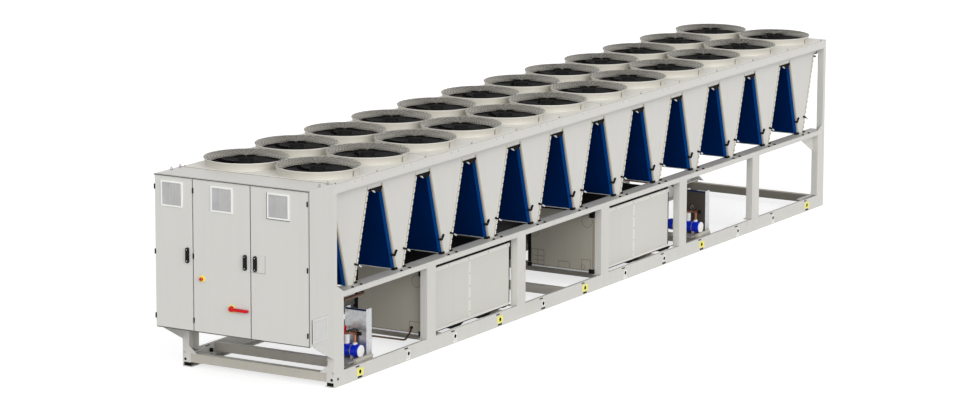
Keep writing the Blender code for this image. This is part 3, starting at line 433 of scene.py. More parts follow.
def add_lathe(shape, profile, sides, centre=(0, 0, 0), axis="Z", closed=False):
    """Turn a profile of (radius, height) round an axis; ends are capped unless the profile closes on itself."""
    turn = {"Z": lambda r, t, h: (r * math.cos(t), r * math.sin(t), h),
            "Y": lambda r, t, h: (r * math.cos(t), h, r * math.sin(t)),
            "X": lambda r, t, h: (h, r * math.cos(t), r * math.sin(t))}[axis]
    rings = []
    for radius, height in profile:
        rings.append([shape.verts.new(Vector(turn(radius, 2 * math.pi * k / sides, height)) + Vector(centre))
                      for k in range(sides)])
    pairs = list(zip(rings, rings[1:])) + ([(rings[-1], rings[0])] if closed else [])
    for here, after in pairs:
        for k in range(sides):
            nxt = (k + 1) % sides
            shape.faces.new((here[k], here[nxt], after[nxt], after[k]))
    if not closed:
        shape.faces.new(rings[0])
        shape.faces.new(rings[-1])


def rounded(points, radius, steps=4):
    """Round the inner corners of a path."""
    points = [Vector(p) for p in points]
    path = [points[0]]
    for before, corner, after in zip(points, points[1:], points[2:]):
        into, out = (before - corner), (after - corner)
        cut = min(radius, into.length * 0.45, out.length * 0.45)
        start, end = corner + into.normalized() * cut, corner + out.normalized() * cut
        for k in range(steps + 1):
            t = k / steps
            path.append((1 - t) ** 2 * start + 2 * t * (1 - t) * corner + t * t * end)
    path.append(points[-1])
    return path


def add_tube(shape, points, radius, sides=8, bend=0.04):
    """A round tube along a path with rounded bends, capped at both ends."""
    path = rounded(points, bend) if len(points) > 2 else [Vector(p) for p in points]
    heading = (path[1] - path[0]).normalized()
    side = heading.orthogonal().normalized()
    rings = []
    for k, point in enumerate(path):
        before = path[max(k - 1, 0)]
        after = path[min(k + 1, len(path) - 1)]
        heading = (after - before).normalized()
        side = (side - heading * side.dot(heading)).normalized()
        other = heading.cross(side)
        rings.append([shape.verts.new(point + radius * (math.cos(a) * side + math.sin(a) * other))
                      for a in (2 * math.pi * j / sides for j in range(sides))])
    for here, after in zip(rings, rings[1:]):
        for k in range(sides):
            nxt = (k + 1) % sides
            shape.faces.new((here[k], here[nxt], after[nxt], after[k]))
    shape.faces.new(rings[0])
    shape.faces.new(rings[-1])


# %% Keep a shape as a piece
pieces = {}


def keep(name, shape, material, body="chassis", bevel=0.0, segments=2):
    """Close a bmesh into a named piece that rides on a body."""
    bmesh.ops.recalc_face_normals(shape, faces=shape.faces)
    mesh = bpy.data.meshes.new(name)
    shape.to_mesh(mesh)
    shape.free()
    mesh.shade_smooth()
    mesh.set_sharp_from_angle(angle=math.radians(35.0))
    mesh.materials.append(material)
    item = bpy.data.objects.new(name, mesh)
    bpy.context.scene.collection.objects.link(item)
    if bevel:
        edge = item.modifiers.new("edge", "BEVEL")
        edge.width = bevel
        edge.segments = segments
        edge.limit_method = "ANGLE"
        edge.harden_normals = True
    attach(item, body)
    pieces[name] = item
    return item


# %% [markdown]
# ## Geometry Nodes for what repeats
# Screws, guard wires and louvre slats come in hundreds. Each tree takes a mesh of bare points, sets one small shape on
# every point, realises the copies and gives them their material. The result is kept as a plain mesh.

# %% Helpers for node trees
def new_tree(name, inputs):
    tree = bpy.data.node_groups.new(name, "GeometryNodeTree")
    tree.interface.new_socket("Geometry", in_out="INPUT", socket_type="NodeSocketGeometry")
    for label, value in inputs.items():
        kind = "NodeSocketInt" if isinstance(value, int) else "NodeSocketFloat"
        tree.interface.new_socket(label, in_out="INPUT", socket_type=kind).default_value = value
    tree.interface.new_socket("Material", in_out="INPUT", socket_type="NodeSocketMaterial")
    tree.interface.new_socket("Geometry", in_out="OUTPUT", socket_type="NodeSocketGeometry")
    return tree, tree.nodes.new("NodeGroupInput"), tree.nodes.new("NodeGroupOutput")


def close_tree(tree, given, result, geometry):
    """Realise the copies, give them the material and end the tree."""
    real = add_node(tree, "GeometryNodeRealizeInstances", {"Geometry": geometry})
    painted = add_node(tree, "GeometryNodeSetMaterial", {"Geometry": real.outputs[0],
                                                         "Material": given.outputs["Material"]})
    tree.links.new(painted.outputs[0], result.inputs[0])
    return tree


def facing_turn(tree):
    """The rotation that points a copy's Z along the point's own facing."""
    facing = add_node(tree, "GeometryNodeInputNamedAttribute", {"Name": "facing"}, data_type="FLOAT_VECTOR")
    turn = add_node(tree, "FunctionNodeAlignRotationToVector", {"Vector": facing.outputs["Attribute"]}, axis="Z")
    return turn.outputs[0]


def grow(name, places, tree, material, body="chassis", slot=None, smooth=False, **settings):
    """Run a tree on points, each a (place, facing) pair, and keep the result as a plain mesh."""
    mesh = bpy.data.meshes.new(name)
    mesh.from_pydata([place for place, facing in places], [], [])
    facing = mesh.attributes.new("facing", "FLOAT_VECTOR", "POINT")
    facing.data.foreach_set("vector", [v for place, way in places for v in way])
    item = bpy.data.objects.new(name, mesh)
    bpy.context.scene.collection.objects.link(item)
    modifier = item.modifiers.new("nodes", "NODES")
    modifier.node_group = tree
    for socket in tree.interface.items_tree:
        if socket.in_out == "INPUT" and socket.name.replace(" ", "_") in settings:
            modifier[socket.identifier] = settings[socket.name.replace(" ", "_")]
        if socket.name == "Material":
            modifier[socket.identifier] = material
    result = bpy.data.meshes.new_from_object(item.evaluated_get(bpy.context.evaluated_depsgraph_get()))
    item.modifiers.clear()
    item.data = result
    if smooth:
        result.shade_smooth()
    result.name = name
    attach(item, body)
    pieces[name] = item
    print(name, "on", len(places), "points:", len(result.polygons), "faces")
    return item


# %% Screw tree
def screw_tree():
    tree, given, result = new_tree("screw_heads", {"Head Radius": 0.006, "Head Height": 0.003, "Sides": 8})
    head = add_node(tree, "GeometryNodeMeshCone", {"Vertices": given.outputs["Sides"],
                                                   "Radius Bottom": given.outputs["Head Radius"],
                                                   "Depth": given.outputs["Head Height"]}, fill_type="NGON")
    top = add_node(tree, "ShaderNodeMath", {0: given.outputs["Head Radius"], 1: 0.72}, operation="MULTIPLY")
    tree.links.new(top.outputs[0], head.inputs["Radius Top"])
    copies = add_node(tree, "GeometryNodeInstanceOnPoints", {"Points": given.outputs["Geometry"],
                                                             "Instance": head.outputs["Mesh"],
                                                             "Rotation": facing_turn(tree)})
    return close_tree(tree, given, result, copies.outputs[0])


# %% Fan guard tree
def guard_tree():
    """Rings and spokes of one domed guard, set on every fan centre."""
    tree, given, result = new_tree("fan_guard", {"Rings": 20, "Spokes": 16, "Inner Radius": 0.07, "Outer Radius": 0.52,
                                                 "Dome": 0.02, "Wire Radius": 0.002})
    row = add_node(tree, "GeometryNodeMeshLine", {"Count": given.outputs["Rings"]}, mode="OFFSET")
    row.inputs["Offset"].default_value = (0, 0, 0)
    index = add_node(tree, "GeometryNodeInputIndex").outputs[0]
    last = combine_maths(tree, "SUBTRACT", given.outputs["Rings"], 1.0)
    share = combine_maths(tree, "DIVIDE", index, last)
    reach = combine_maths(tree, "SUBTRACT", given.outputs["Outer Radius"], given.outputs["Inner Radius"])
    radius = combine_maths(tree, "ADD", given.outputs["Inner Radius"], combine_maths(tree, "MULTIPLY", reach, share))
    ratio = combine_maths(tree, "DIVIDE", radius, given.outputs["Outer Radius"])
    fall = combine_maths(tree, "SUBTRACT", 1.0, combine_maths(tree, "MULTIPLY", ratio, ratio))
    lift = combine_maths(tree, "MULTIPLY", given.outputs["Dome"], fall)
    spot = add_node(tree, "ShaderNodeCombineXYZ", {"Z": lift})
    raised = add_node(tree, "GeometryNodeSetPosition", {"Geometry": row.outputs[0], "Position": spot.outputs[0]})
    circle = add_node(tree, "GeometryNodeCurvePrimitiveCircle", {"Resolution": 40, "Radius": 1.0})
    rings = add_node(tree, "GeometryNodeInstanceOnPoints", {"Points": raised.outputs[0],
                                                            "Instance": circle.outputs["Curve"]})
    grown = add_node(tree, "ShaderNodeCombineXYZ", {"X": radius, "Y": radius, "Z": 1.0})
    tree.links.new(grown.outputs[0], rings.inputs["Scale"])
    spoke = add_node(tree, "GeometryNodeCurveQuadraticBezier", {"Resolution": 5})
    half = combine_maths(tree, "MULTIPLY", given.outputs["Outer Radius"], 0.5)
    for key, x, z in (("Start", 0.0, given.outputs["Dome"]), ("Middle", half, given.outputs["Dome"]),
                      ("End", given.outputs["Outer Radius"], 0.0)):
        tree.links.new(add_node(tree, "ShaderNodeCombineXYZ", {"X": x, "Z": z}).outputs[0], spoke.inputs[key])
    star = add_node(tree, "GeometryNodeMeshLine", {"Count": given.outputs["Spokes"]}, mode="OFFSET")
    star.inputs["Offset"].default_value = (0, 0, 0)
    angle = combine_maths(tree, "MULTIPLY", combine_maths(tree, "DIVIDE", index, given.outputs["Spokes"]), 2 * math.pi)
    turn = add_node(tree, "ShaderNodeCombineXYZ", {"Z": angle})
    rotation = add_node(tree, "FunctionNodeEulerToRotation", {0: turn.outputs[0]})
    spokes = add_node(tree, "GeometryNodeInstanceOnPoints", {"Points": star.outputs[0],
                                                             "Instance": spoke.outputs[0],
                                                             "Rotation": rotation.outputs[0]})
    joined = add_node(tree, "GeometryNodeJoinGeometry")
    tree.links.new(rings.outputs[0], joined.inputs[0])
    tree.links.new(spokes.outputs[0], joined.inputs[0])
    real = add_node(tree, "GeometryNodeRealizeInstances", {"Geometry": joined.outputs[0]})
    section = add_node(tree, "GeometryNodeCurvePrimitiveCircle", {"Resolution": 3,
                                                                  "Radius": given.outputs["Wire Radius"]})
    wires = add_node(tree, "GeometryNodeCurveToMesh", {"Curve": real.outputs[0],
                                                       "Profile Curve": section.outputs["Curve"]})
    wires.inputs["Fill Caps"].default_value = True
    copies = add_node(tree, "GeometryNodeInstanceOnPoints", {"Points": given.outputs["Geometry"],
                                                             "Instance": wires.outputs[0]})
    return close_tree(tree, given, result, copies.outputs[0])


# %% Slat tree
def slat_tree():
    """A ladder of flat slats up the face of each point, tilted to shed rain."""
    tree, given, result = new_tree("slats", {"Count": 12, "Pitch": 0.02, "Length": 0.26, "Depth": 0.012,
                                             "Thickness": 0.002, "Tilt": 0.6, "Spin": 0.0})
    size = add_node(tree, "ShaderNodeCombineXYZ", {"X": given.outputs["Thickness"], "Y": given.outputs["Length"],
                                                   "Z": given.outputs["Depth"]})
    slat = add_node(tree, "GeometryNodeMeshCube", {"Size": size.outputs[0]})
    lean = add_node(tree, "ShaderNodeCombineXYZ", {"Y": given.outputs["Tilt"]})
    tipped = add_node(tree, "GeometryNodeTransform", {"Geometry": slat.outputs["Mesh"], "Rotation": lean.outputs[0]})
    gaps = combine_maths(tree, "SUBTRACT", given.outputs["Count"], 1.0)
    start = combine_maths(tree, "MULTIPLY", combine_maths(tree, "MULTIPLY", gaps, given.outputs["Pitch"]), -0.5)
    row = add_node(tree, "GeometryNodeMeshLine", {"Count": given.outputs["Count"]}, mode="OFFSET")
    tree.links.new(add_node(tree, "ShaderNodeCombineXYZ", {"X": start}).outputs[0], row.inputs["Start Location"])
    tree.links.new(add_node(tree, "ShaderNodeCombineXYZ", {"X": given.outputs["Pitch"]}).outputs[0], row.inputs["Offset"])
    ladder = add_node(tree, "GeometryNodeInstanceOnPoints", {"Points": row.outputs[0], "Instance": tipped.outputs[0]})
    real = add_node(tree, "GeometryNodeRealizeInstances", {"Geometry": ladder.outputs[0]})
    spin = add_node(tree, "ShaderNodeCombineXYZ", {"Z": given.outputs["Spin"]})
    spun = add_node(tree, "GeometryNodeTransform", {"Geometry": real.outputs[0], "Rotation": spin.outputs[0]})
    copies = add_node(tree, "GeometryNodeInstanceOnPoints", {"Points": given.outputs["Geometry"],
                                                             "Instance": spun.outputs[0],
                                                             "Rotation": facing_turn(tree)})
    return close_tree(tree, given, result, copies.outputs[0])


SCREWS, GUARD, SLATS = screw_tree(), guard_tree(), slat_tree()

# %% [markdown]
# ## Fan deck
# The deck is one flat sheet per bay with a pressed bell mouth round every fan. The bell flares up and out to a rolled
# rim, then funnels down to the throat. A turned profile gives that in one go, with the wall's thickness in the profile.

# %% Deck sheets with round holes
BASE_RADIUS, THROAT_RADIUS, RIM_RADIUS = 0.515, 0.452, 0.5375
shape = bmesh.new()
bay = PITCH * 2
for number in range(6):
    low, high = FRONT + bay * number + 0.001, FRONT + bay * (number + 1) - 0.001
    holes = [c for c in fan_centres if low < c[0] < high]
    for z in (DECK, DECK - 0.006):
        corners = [shape.verts.new((x, y, z)) for x, y in ((low, -HALF), (high, -HALF), (high, HALF), (low, HALF))]
        loops = [corners]
        for x, y in holes:
            loops.append([shape.verts.new((x + BASE_RADIUS * math.cos(2 * math.pi * k / 64),
                                           y + BASE_RADIUS * math.sin(2 * math.pi * k / 64), z)) for k in range(64)])
        edges = [shape.edges.new((loop[k], loop[(k + 1) % len(loop)])) for loop in loops for k in range(len(loop))]
        bmesh.ops.triangle_fill(shape, edges=edges, use_beauty=True)
        if z == DECK:
            upper = loops
    for top, bottom in zip(upper, loops):
        for k in range(len(top)):
            nxt = (k + 1) % len(top)
            shape.faces.new((top[k], top[nxt], bottom[nxt], bottom[k]))
deck = keep("deck_sheets", shape, deck_coat)
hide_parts(*[f"fan_deck_{k}" for k in range(1, 7)])

# %% Lips and seams round the deck
lips, seams = bmesh.new(), bmesh.new()
add_prism(lips, [(FRONT - 0.004, CABINET_TOP + 0.0005), (FRONT + 0.014, CABINET_TOP + 0.0005),
                 (FRONT + 0.014, CABINET_TOP + 0.0045), (FRONT - 0.004, CABINET_TOP + 0.0085)], "Y", -HALF, HALF)
add_prism(lips, [(FRONT + 0.004, DECK), (FRONT + 0.014, DECK), (FRONT + 0.014, CABINET_TOP + 0.0005),
                 (FRONT + 0.004, CABINET_TOP + 0.0005)], "Y", -HALF, HALF)
add_block(seams, (FRONT - 0.02, -HALF, CABINET_TOP + 0.0002), (FRONT - 0.005, HALF, CABINET_TOP + 0.0022))
for side in (-1, 1):
    ys = sorted((side * (HALF - 0.001), side * (HALF + 0.0008)))
    add_block(seams, (FRONT, ys[0], DECK - 0.0085), (REAR, ys[1], DECK - 0.0055))
for k in range(1, 6):
    x = FRONT + bay * k
    add_block(seams, (x - 0.003, -HALF, DECK - 0.004), (x + 0.003, HALF, DECK + 0.0012))
# The lips take the brighter coat, a painted highlight on the lit front edge.
keep("deck_lips", lips, edge_coat)
keep("deck_seams", seams, seam_brown)

# %% Bell mouths
LIP = RIM - 0.0085
bell = [(BASE_RADIUS + 0.004, DECK), (BASE_RADIUS + 0.001, DECK + 0.006), (BASE_RADIUS + 0.002, DECK + 0.04),
        (RIM_RADIUS - 0.012, RIM - 0.024), (RIM_RADIUS - 0.003, LIP - 0.004), (RIM_RADIUS - 0.003, LIP),
        (RIM_RADIUS - 0.012, LIP), (RIM_RADIUS - 0.030, RIM - 0.014), (RIM_RADIUS - 0.052, RIM - 0.030),
        (THROAT_RADIUS + 0.006, RIM - 0.054), (THROAT_RADIUS, RIM - 0.080), (THROAT_RADIUS, RIM - 0.17),
        (THROAT_RADIUS + 0.003, RIM - 0.17), (THROAT_RADIUS + 0.003, RIM - 0.10), (BASE_RADIUS - 0.004, DECK)]
rolled = [(RIM_RADIUS - 0.0065, LIP), (RIM_RADIUS - 0.002, LIP - 0.001), (RIM_RADIUS, LIP + 0.003), (RIM_RADIUS - 0.002, RIM),
          (RIM_RADIUS - 0.0055, RIM - 0.001)]
shape, rims, throat_shade_rings = bmesh.new(), bmesh.new(), bmesh.new()
# Black rings line the lower throat below the blades: painted shade of the dark space under the fans, where the real
# throat carries the bell's paint.
throat_shade_profile = [(THROAT_RADIUS - 0.001, RIM - 0.076), (THROAT_RADIUS + 0.001, RIM - 0.079), (THROAT_RADIUS + 0.001, RIM - 0.168),
          (THROAT_RADIUS - 0.001, RIM - 0.169)]
for x, y in fan_centres:
    add_lathe(throat_shade_rings, throat_shade_profile, 48, (x, y, 0), closed=True)
    add_lathe(shape, bell, 64, (x, y, 0), closed=True)
    add_lathe(rims, rolled, 64, (x, y, 0), closed=True)
keep("bell_mouths", shape, bell_coat)
keep("bell_rims", rims, deck_coat)
keep("fan_throats", throat_shade_rings, black_rubber)

# %% Shade strips between the rows and the seam strips of the bells
shade_strips, strips = bmesh.new(), bmesh.new()
# Black blocks where the two rows of bells meet: a seal strip whose black is also painted shade of the notch between the
# touching bells.
for x in vee_centres:
    add_prism(shade_strips, [(-0.022, DECK), (0.022, DECK), (0.010, RIM - 0.028), (-0.010, RIM - 0.028)], "X", x - 0.055, x + 0.055)
for x, y in fan_centres:
    side = math.copysign(1.0, y)
    outline = [(y + side * (BASE_RADIUS - 0.004), DECK), (y + side * (BASE_RADIUS + 0.007), DECK),
               (y + side * (RIM_RADIUS - 0.010), RIM - 0.03), (y + side * (RIM_RADIUS - 0.022), RIM - 0.03)]
    add_prism(strips, outline, "X", x - 0.009, x + 0.009)
keep("row_seals", shade_strips, black_rubber)
keep("bell_seams", strips, seam_brown)

# %% [markdown]
# ## Fans
# An axial fan is a motor on a star of arms with sickle blades round it. A blade is a grid from root to tip: at every
# radius its chord swings back a little and its pitch flattens.

# %% Blades
def add_blade(shape, centre, turn, height, inner=0.10, outer=0.440, steps=7, across=5):
    """One pitched sickle blade as a thin closed shell."""
    sheets = []
    for side in (1, -1):
        rows = []
        for i in range(steps):
            t = i / (steps - 1)
            radius = inner + (outer - inner) * t
            chord = math.radians(54 - 6 * t)
            sweep = math.radians(26) * t * t
            row = []
            for j in range(across):
                s = j / (across - 1) - 0.5
                a = turn + s * chord - sweep
                z = height + (0.014 - 0.004 * t) * 2 * s - 0.004 * (1 - 4 * s * s) + side * 0.0025 * (1 - 1.6 * abs(s))
                row.append(shape.verts.new((centre[0] + radius * math.cos(a), centre[1] + radius * math.sin(a), z)))
            rows.append(row)
        sheets.append(rows)
    for rows in sheets:
        for a, b in zip(rows, rows[1:]):
            for j in range(across - 1):
                shape.faces.new((a[j], a[j + 1], b[j + 1], b[j]))
    top, under = sheets
    for i in range(steps - 1):
        for j in (0, across - 1):
            shape.faces.new((top[i][j], top[i + 1][j], under[i + 1][j], under[i][j]))
    for i in (0, steps - 1):
        for j in range(across - 1):
            shape.faces.new((top[i][j], top[i][j + 1], under[i][j + 1], under[i][j]))


shape = bmesh.new()
for number, centre in enumerate(fan_centres):
    for blade in range(6):
        add_blade(shape, centre, 2 * math.pi * blade / 6 + 0.37 * number, RIM - 0.086)
keep("fan_blades", shape, blade_black)

# %% Motors and their arms
shape = bmesh.new()
for x, y in fan_centres:
    add_lathe(shape, [(0.060, RIM - 0.012), (0.090, RIM - 0.016), (0.100, RIM - 0.030), (0.106, RIM - 0.13),
                      (0.118, RIM - 0.134), (0.118, RIM - 0.165), (0.09, RIM - 0.175)], 32, (x, y, 0))
    for k in range(4):
        a = math.pi / 4 + k * math.pi / 2
        way, side = Vector((math.cos(a), math.sin(a), 0)), Vector((-math.sin(a), math.cos(a), 0))
        start, end = Vector((x, y, 0)) + way * 0.10, Vector((x, y, 0)) + way * (THROAT_RADIUS + 0.001)
        for low, high, half in ((RIM - 0.144, RIM - 0.140, 0.014), (RIM - 0.168, RIM - 0.144, 0.002)):
            corners = [p + side * s for p in (start, end) for s in (-half, half)]
            ring = [(corners[0].x, corners[0].y), (corners[2].x, corners[2].y), (corners[3].x, corners[3].y),
                    (corners[1].x, corners[1].y)]
            add_prism(shape, ring, "Z", low, high)
keep("fan_motors", shape, motor_grey)

# %% Guards
up = (0.0, 0.0, 1.0)
grow("fan_guards", [((x, y, RIM - 0.001), up) for x, y in fan_centres], GUARD, guard_wire, slot="deck_and_fans",
     Rings=12, Spokes=32, Dome=0.006, Wire_Radius=0.0021, Inner_Radius=0.085, Outer_Radius=0.533)

# %% [markdown]
# ## V coils
# Each V is a pair of slabs. The end plates are painted a brighter blue than the fins behind them and run down each
# slab's outer face at both ends. A light casing strip closes each slab's foot.

# %% Coil end plates and foot strips
END_PLATE_DEPTH = 0.05
COIL_END = VEE_FACE - 0.0103
shape, strips = bmesh.new(), bmesh.new()
low, high = MID + 0.002, COIL_TOP - 0.02
for centre in vee_centres:
    for side in (-1, 1):
        outline = [(centre + side * (vee_half(low) - 0.004), low), (centre + side * (vee_half(low) + 0.004), low),
                   (centre + side * (vee_half(high) + 0.004), high), (centre + side * (vee_half(high) - 0.004), high)]
        for end in (-1, 1):
            span_y = sorted((end * COIL_END, end * (COIL_END - END_PLATE_DEPTH)))
            add_prism(shape, outline, "Y", *span_y)
        x = centre + side * FOOT_HALF
        add_prism(strips, [(x - 0.004, MID + 0.001), (x + 0.004, MID + 0.001), (x + side * 0.003 + 0.004, MID + 0.011),
                           (x + side * 0.003 - 0.004, MID + 0.011)], "Y", -COIL_END, COIL_END)
keep("coil_end_plates", shape, end_plate_blue)
keep("coil_foot_strips", strips, frame_coat)

# %% [markdown]
# ## Side panels
# Both slanted edges of every V plate are folded over: a tan inner strip of painted shade along the fold and a bright
# outer strip of painted highlight on the edge. Every gap between two plates has a black cap at the top and black clamps
# that hold the slabs half way down and at the foot.

# %% Hems and gap fittings
fold_shade_strips, edges, caps, fittings, whites, fillers = (bmesh.new() for k in range(6))
low, high = MID + 0.002, 2.364
for side in (-1, 1):
    face = side * VEE_FACE
    proud = sorted((face, face + side * 0.0015))
    edge_proud = sorted((face, face + side * 0.009))

    def on_face(shape, outline, inside=0.004, out=0.016):
        """A plate on the panel's face, from a little behind it to proud of it."""
        add_prism(shape, outline, "Y", *sorted((face - side * inside, face + side * out)))

    for centre in vee_centres:
        for edge in (-1, 1):
            def at(z, inset):
                return (centre + edge * (vee_half(z) - inset), z)
            outer, inner, lip, fold = (edges, fold_shade_strips, 0.011, 0.030) if edge > 0 else (fold_shade_strips, edges, 0.026, 0.036)
            add_prism(outer, [at(low, -0.003), at(low, lip), at(high, lip), at(high, -0.003)], "Y", *edge_proud)
            add_prism(inner, [at(low, lip), at(low, fold), at(high, fold), at(high, lip)], "Y", *proud)
    for k in range(1, MODULES + 1):
        x = FRONT + PITCH * k
        lower, upper = x - PITCH / 2 + vee_half(1.43), x + PITCH / 2 - vee_half(1.43)
        on_face(fittings, [(lower - 0.072, 1.424), (lower + 0.018, 1.398), (lower + 0.024, 1.420), (lower - 0.066, 1.450)])
        on_face(whites, [(lower + 0.022, 1.398), (lower + 0.092, 1.366), (lower + 0.096, 1.382), (lower + 0.026, 1.416)],
                out=0.010)
        if k == MODULES:
            on_face(caps, [(x - 0.172, 2.308), (x - 0.100, 2.297), (x - 0.094, 2.322), (x - 0.172, 2.330)], 0.010, 0.012)
        if k < MODULES:
            on_face(fillers, [(x - 0.165, 2.330), (x + 0.160, 2.330), (x + 0.160, 2.372), (x - 0.165, 2.372)], 0.012, 0.0008)
            on_face(caps, [(x - 0.172, 2.308), (x - 0.120, 2.297), (x - 0.020, 2.302), (x + 0.010, 2.270), (x + 0.112, 2.262),
                           (x + 0.122, 2.290), (x + 0.150, 2.290), (x + 0.162, 2.322), (x + 0.140, 2.336),
                           (x + 0.105, 2.326), (x - 0.172, 2.330)], inside=0.010, out=0.012)
            on_face(whites, [(x - 0.090, 2.309), (x - 0.046, 2.280), (x - 0.002, 2.262), (x - 0.030, 2.296)], out=0.014)
            on_face(fittings, [(upper - 0.045, 1.388), (upper + 0.028, 1.370), (upper + 0.050, 1.380), (upper + 0.094, 1.440),
                               (upper + 0.074, 1.452), (upper + 0.026, 1.408), (upper - 0.044, 1.412)], out=0.020)
            foot = x + PITCH / 2 - FOOT_HALF
            on_face(fittings, [(foot - 0.060, MID + 0.001), (foot + 0.028, MID + 0.001), (foot + 0.030, MID + 0.026),
                               (foot + 0.008, MID + 0.034), (foot - 0.056, MID + 0.014)], inside=0.03, out=0.018)
        foot = x - PITCH / 2 + FOOT_HALF
        on_face(fittings, [(foot - 0.012, MID + 0.001), (foot + 0.052, MID + 0.001), (foot + 0.050, MID + 0.020),
                           (foot - 0.006, MID + 0.026)], inside=0.02, out=0.014)
keep("panel_hems", fold_shade_strips, hem_coat)
keep("panel_edges", edges, edge_coat)
keep("gap_caps", caps, black_rubber)
keep("gap_fillers", fillers, panel_coat)
keep("gap_fittings", fittings, black_rubber, bevel=0.002)
keep("gap_clips", whites, zinc)

# %% Screws on the deck, the skirt, the plates and the mid rails
deck_screws, deck_plugs, foot_blocks, panel_screws, ticks = [], [], [], [], []
for side in (-1, 1):
    for k in range(MODULES + 1):
        x = min(max(FRONT + PITCH * k, FRONT + 0.02), REAR - 0.02)
        deck_plugs.append(((x - 0.12 if k else x + 0.05, side * 1.12, DECK), up))
        for y in (1.05, 0.56, 0.02):
            deck_screws.append(((x + 0.012, side * y, DECK), up))
    for centre in vee_centres:
        for shift in (-0.091, 0.085):
            deck_screws.append(((centre + shift, side * HALF, 2.53), (0, side, 0)))
        ticks += [((centre + vee_half(z) - 0.003, side * (VEE_FACE + 0.009), z), (0, side, 0))
                  for z in (1.27 + 0.075 * j for j in range(14))]
        for z in (1.32, 1.80, 2.28):
            for edge in (-1, 1):
                panel_screws.append(((centre + edge * (vee_half(z) - 0.05), side * VEE_FACE, z), (0, side, 0)))
        for shift, y in ((-0.110, 1.114), (0.085, 1.114)):
            foot_blocks.append(((centre + shift, side * y, MID), up))
grow("deck_screws", deck_screws, SCREWS, screw_steel, Head_Radius=0.009)
grow("edge_ticks", ticks, SCREWS, black_rubber, Head_Radius=0.011, Head_Height=0.003, Sides=6)
grow("deck_plugs", deck_plugs, SCREWS, black_rubber, Head_Radius=0.014, Head_Height=0.006)
grow("panel_screws", panel_screws, SCREWS, panel_coat, Head_Radius=0.006)
grow("foot_blocks", foot_blocks, SCREWS, black_rubber, Head_Radius=0.021, Head_Height=0.014)

# %% [markdown]
# ## Base rails
# Each long rail is a folded channel with its web outside. The web is pierced by a round lifting hole, a drain slot under
# it and a sling slot above it in every module. The upper flange is narrow and only widens where a post stands on it.

# %% Rails
WEB, FLANGE, SEAT_DEPTH = 0.012, 0.035, 0.13
HOLE_Z = 0.092
turns = [2 * math.pi * j / 24 for j in range(24)]


def slot_outline(x, z, half, thick):
    """A rectangle in the plane of the web."""
    return [(x - half, z - thick), (x + half, z - thick), (x + half, z + thick), (x - half, z + thick)]


shape, slot_shade_plates, slot_see_through_whites = bmesh.new(), bmesh.new(), bmesh.new()
dark_slots = [vee_centres[k] for k in (0, 3, 4, 5, 7, 8, 11)]
post_places = [(FRONT, FRONT + 0.34)] + [(FRONT + 2.3 * k - 0.125, FRONT + 2.3 * k + 0.125) for k in range(1, 6)]
post_places.append((REAR - 0.64, REAR))
top = rail_high[2]
for side in (-1, 1):
    outer, inner, deep = side * HALF, side * (HALF - WEB), side * (HALF - SEAT_DEPTH)
    holes = []
    for centre in vee_centres:
        x = centre + 0.02
        holes.append([(x + math.cos(a) * 0.0265, HOLE_Z + math.sin(a) * 0.0265) for a in turns])
        for slot_x, z, half, thick in ((x - 0.005, 0.0258, 0.052, 0.0125), (x - 0.06, 0.168, 0.044, 0.009)):
            holes.append(slot_outline(slot_x, z, half, thick))
            # Behind each slot sits a plate: black ones are painted shade inside the slot, and white ones in the open
            # lower slots stand for the bright background seen through them.
            ys = sorted((outer - side * 0.0016, inner - side * 0.004))
            lower_open = z < 0.1 and centre not in dark_slots
            add_block(slot_see_through_whites if lower_open else slot_shade_plates, (slot_x - half + 0.0003, ys[0], z - thick + 0.0003),
                      (slot_x + half - 0.0003, ys[1], z + thick - 0.0003))
    add_pierced(shape, [(FRONT, 0), (REAR, 0), (REAR, top), (FRONT, top)], holes, outer, inner)
    for (x0, x1), depth, (z0, z1) in [((FRONT, REAR), deep, (0, WEB)), ((FRONT, REAR), side * (HALF - FLANGE), (top - WEB, top))] + \
            [(place, deep, (top - WEB, top)) for place in post_places]:
        ys = sorted((inner, depth))
        add_block(shape, (x0, ys[0], z0), (x1, ys[1], z1))
    ys = sorted((inner, side * (HALF - 0.118)))
    # Each rail end has a plate above z 0.06 and a black block below it, painted shade inside the open channel.
    for x0, x1, end_shade_x in ((FRONT, FRONT + 0.01, FRONT + 0.012), (REAR - 0.01, REAR, REAR - 0.02)):
        add_block(shape, (x0, ys[0], 0.06), (x1, ys[1], top - WEB))
        add_block(slot_shade_plates, (end_shade_x, ys[0], WEB + 0.0005), (end_shade_x + 0.008, ys[1], 0.0595))
rails = keep("base_rails", shape, frame_coat)
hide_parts("base_rail_near", "base_rail_far")
keep("rail_backings", slot_shade_plates, black_rubber)
keep("rail_pale_backings", slot_see_through_whites, label_white)

# %% Sleeves, bare labels and bolts
sleeves, yellow, white = bmesh.new(), bmesh.new(), bmesh.new()
for side in (-1, 1):
    for k, centre in enumerate(vee_centres):
        x = centre + 0.02
        # Black sleeves line every lifting hole: their black is painted shade of the hole's inside.
        add_lathe(sleeves, [(0.0262, side * (HALF + 0.0007)), (0.0262, side * (HALF - 0.045)), (0.0215, side * (HALF - 0.045)),
                            (0.0215, side * (HALF + 0.0007))], 20, (x, 0, HOLE_Z), axis="Y", closed=True)
        is_yellow = k in (0, 3, 5, 8, 11)
        half_x, half_z = (0.075, 0.047) if is_yellow else (0.036, 0.040)
        add_pierced(yellow if is_yellow else white, slot_outline(x, HOLE_Z, half_x, half_z),
                    [[(x + math.cos(a) * 0.0265, HOLE_Z + math.sin(a) * 0.0265) for a in turns]],
                    side * (HALF + 0.0001), side * (HALF + 0.0008))
keep("lifting_sleeves", sleeves, black_rubber)
keep("hole_labels_yellow", yellow, label_yellow)
keep("hole_labels_white", white, label_white)
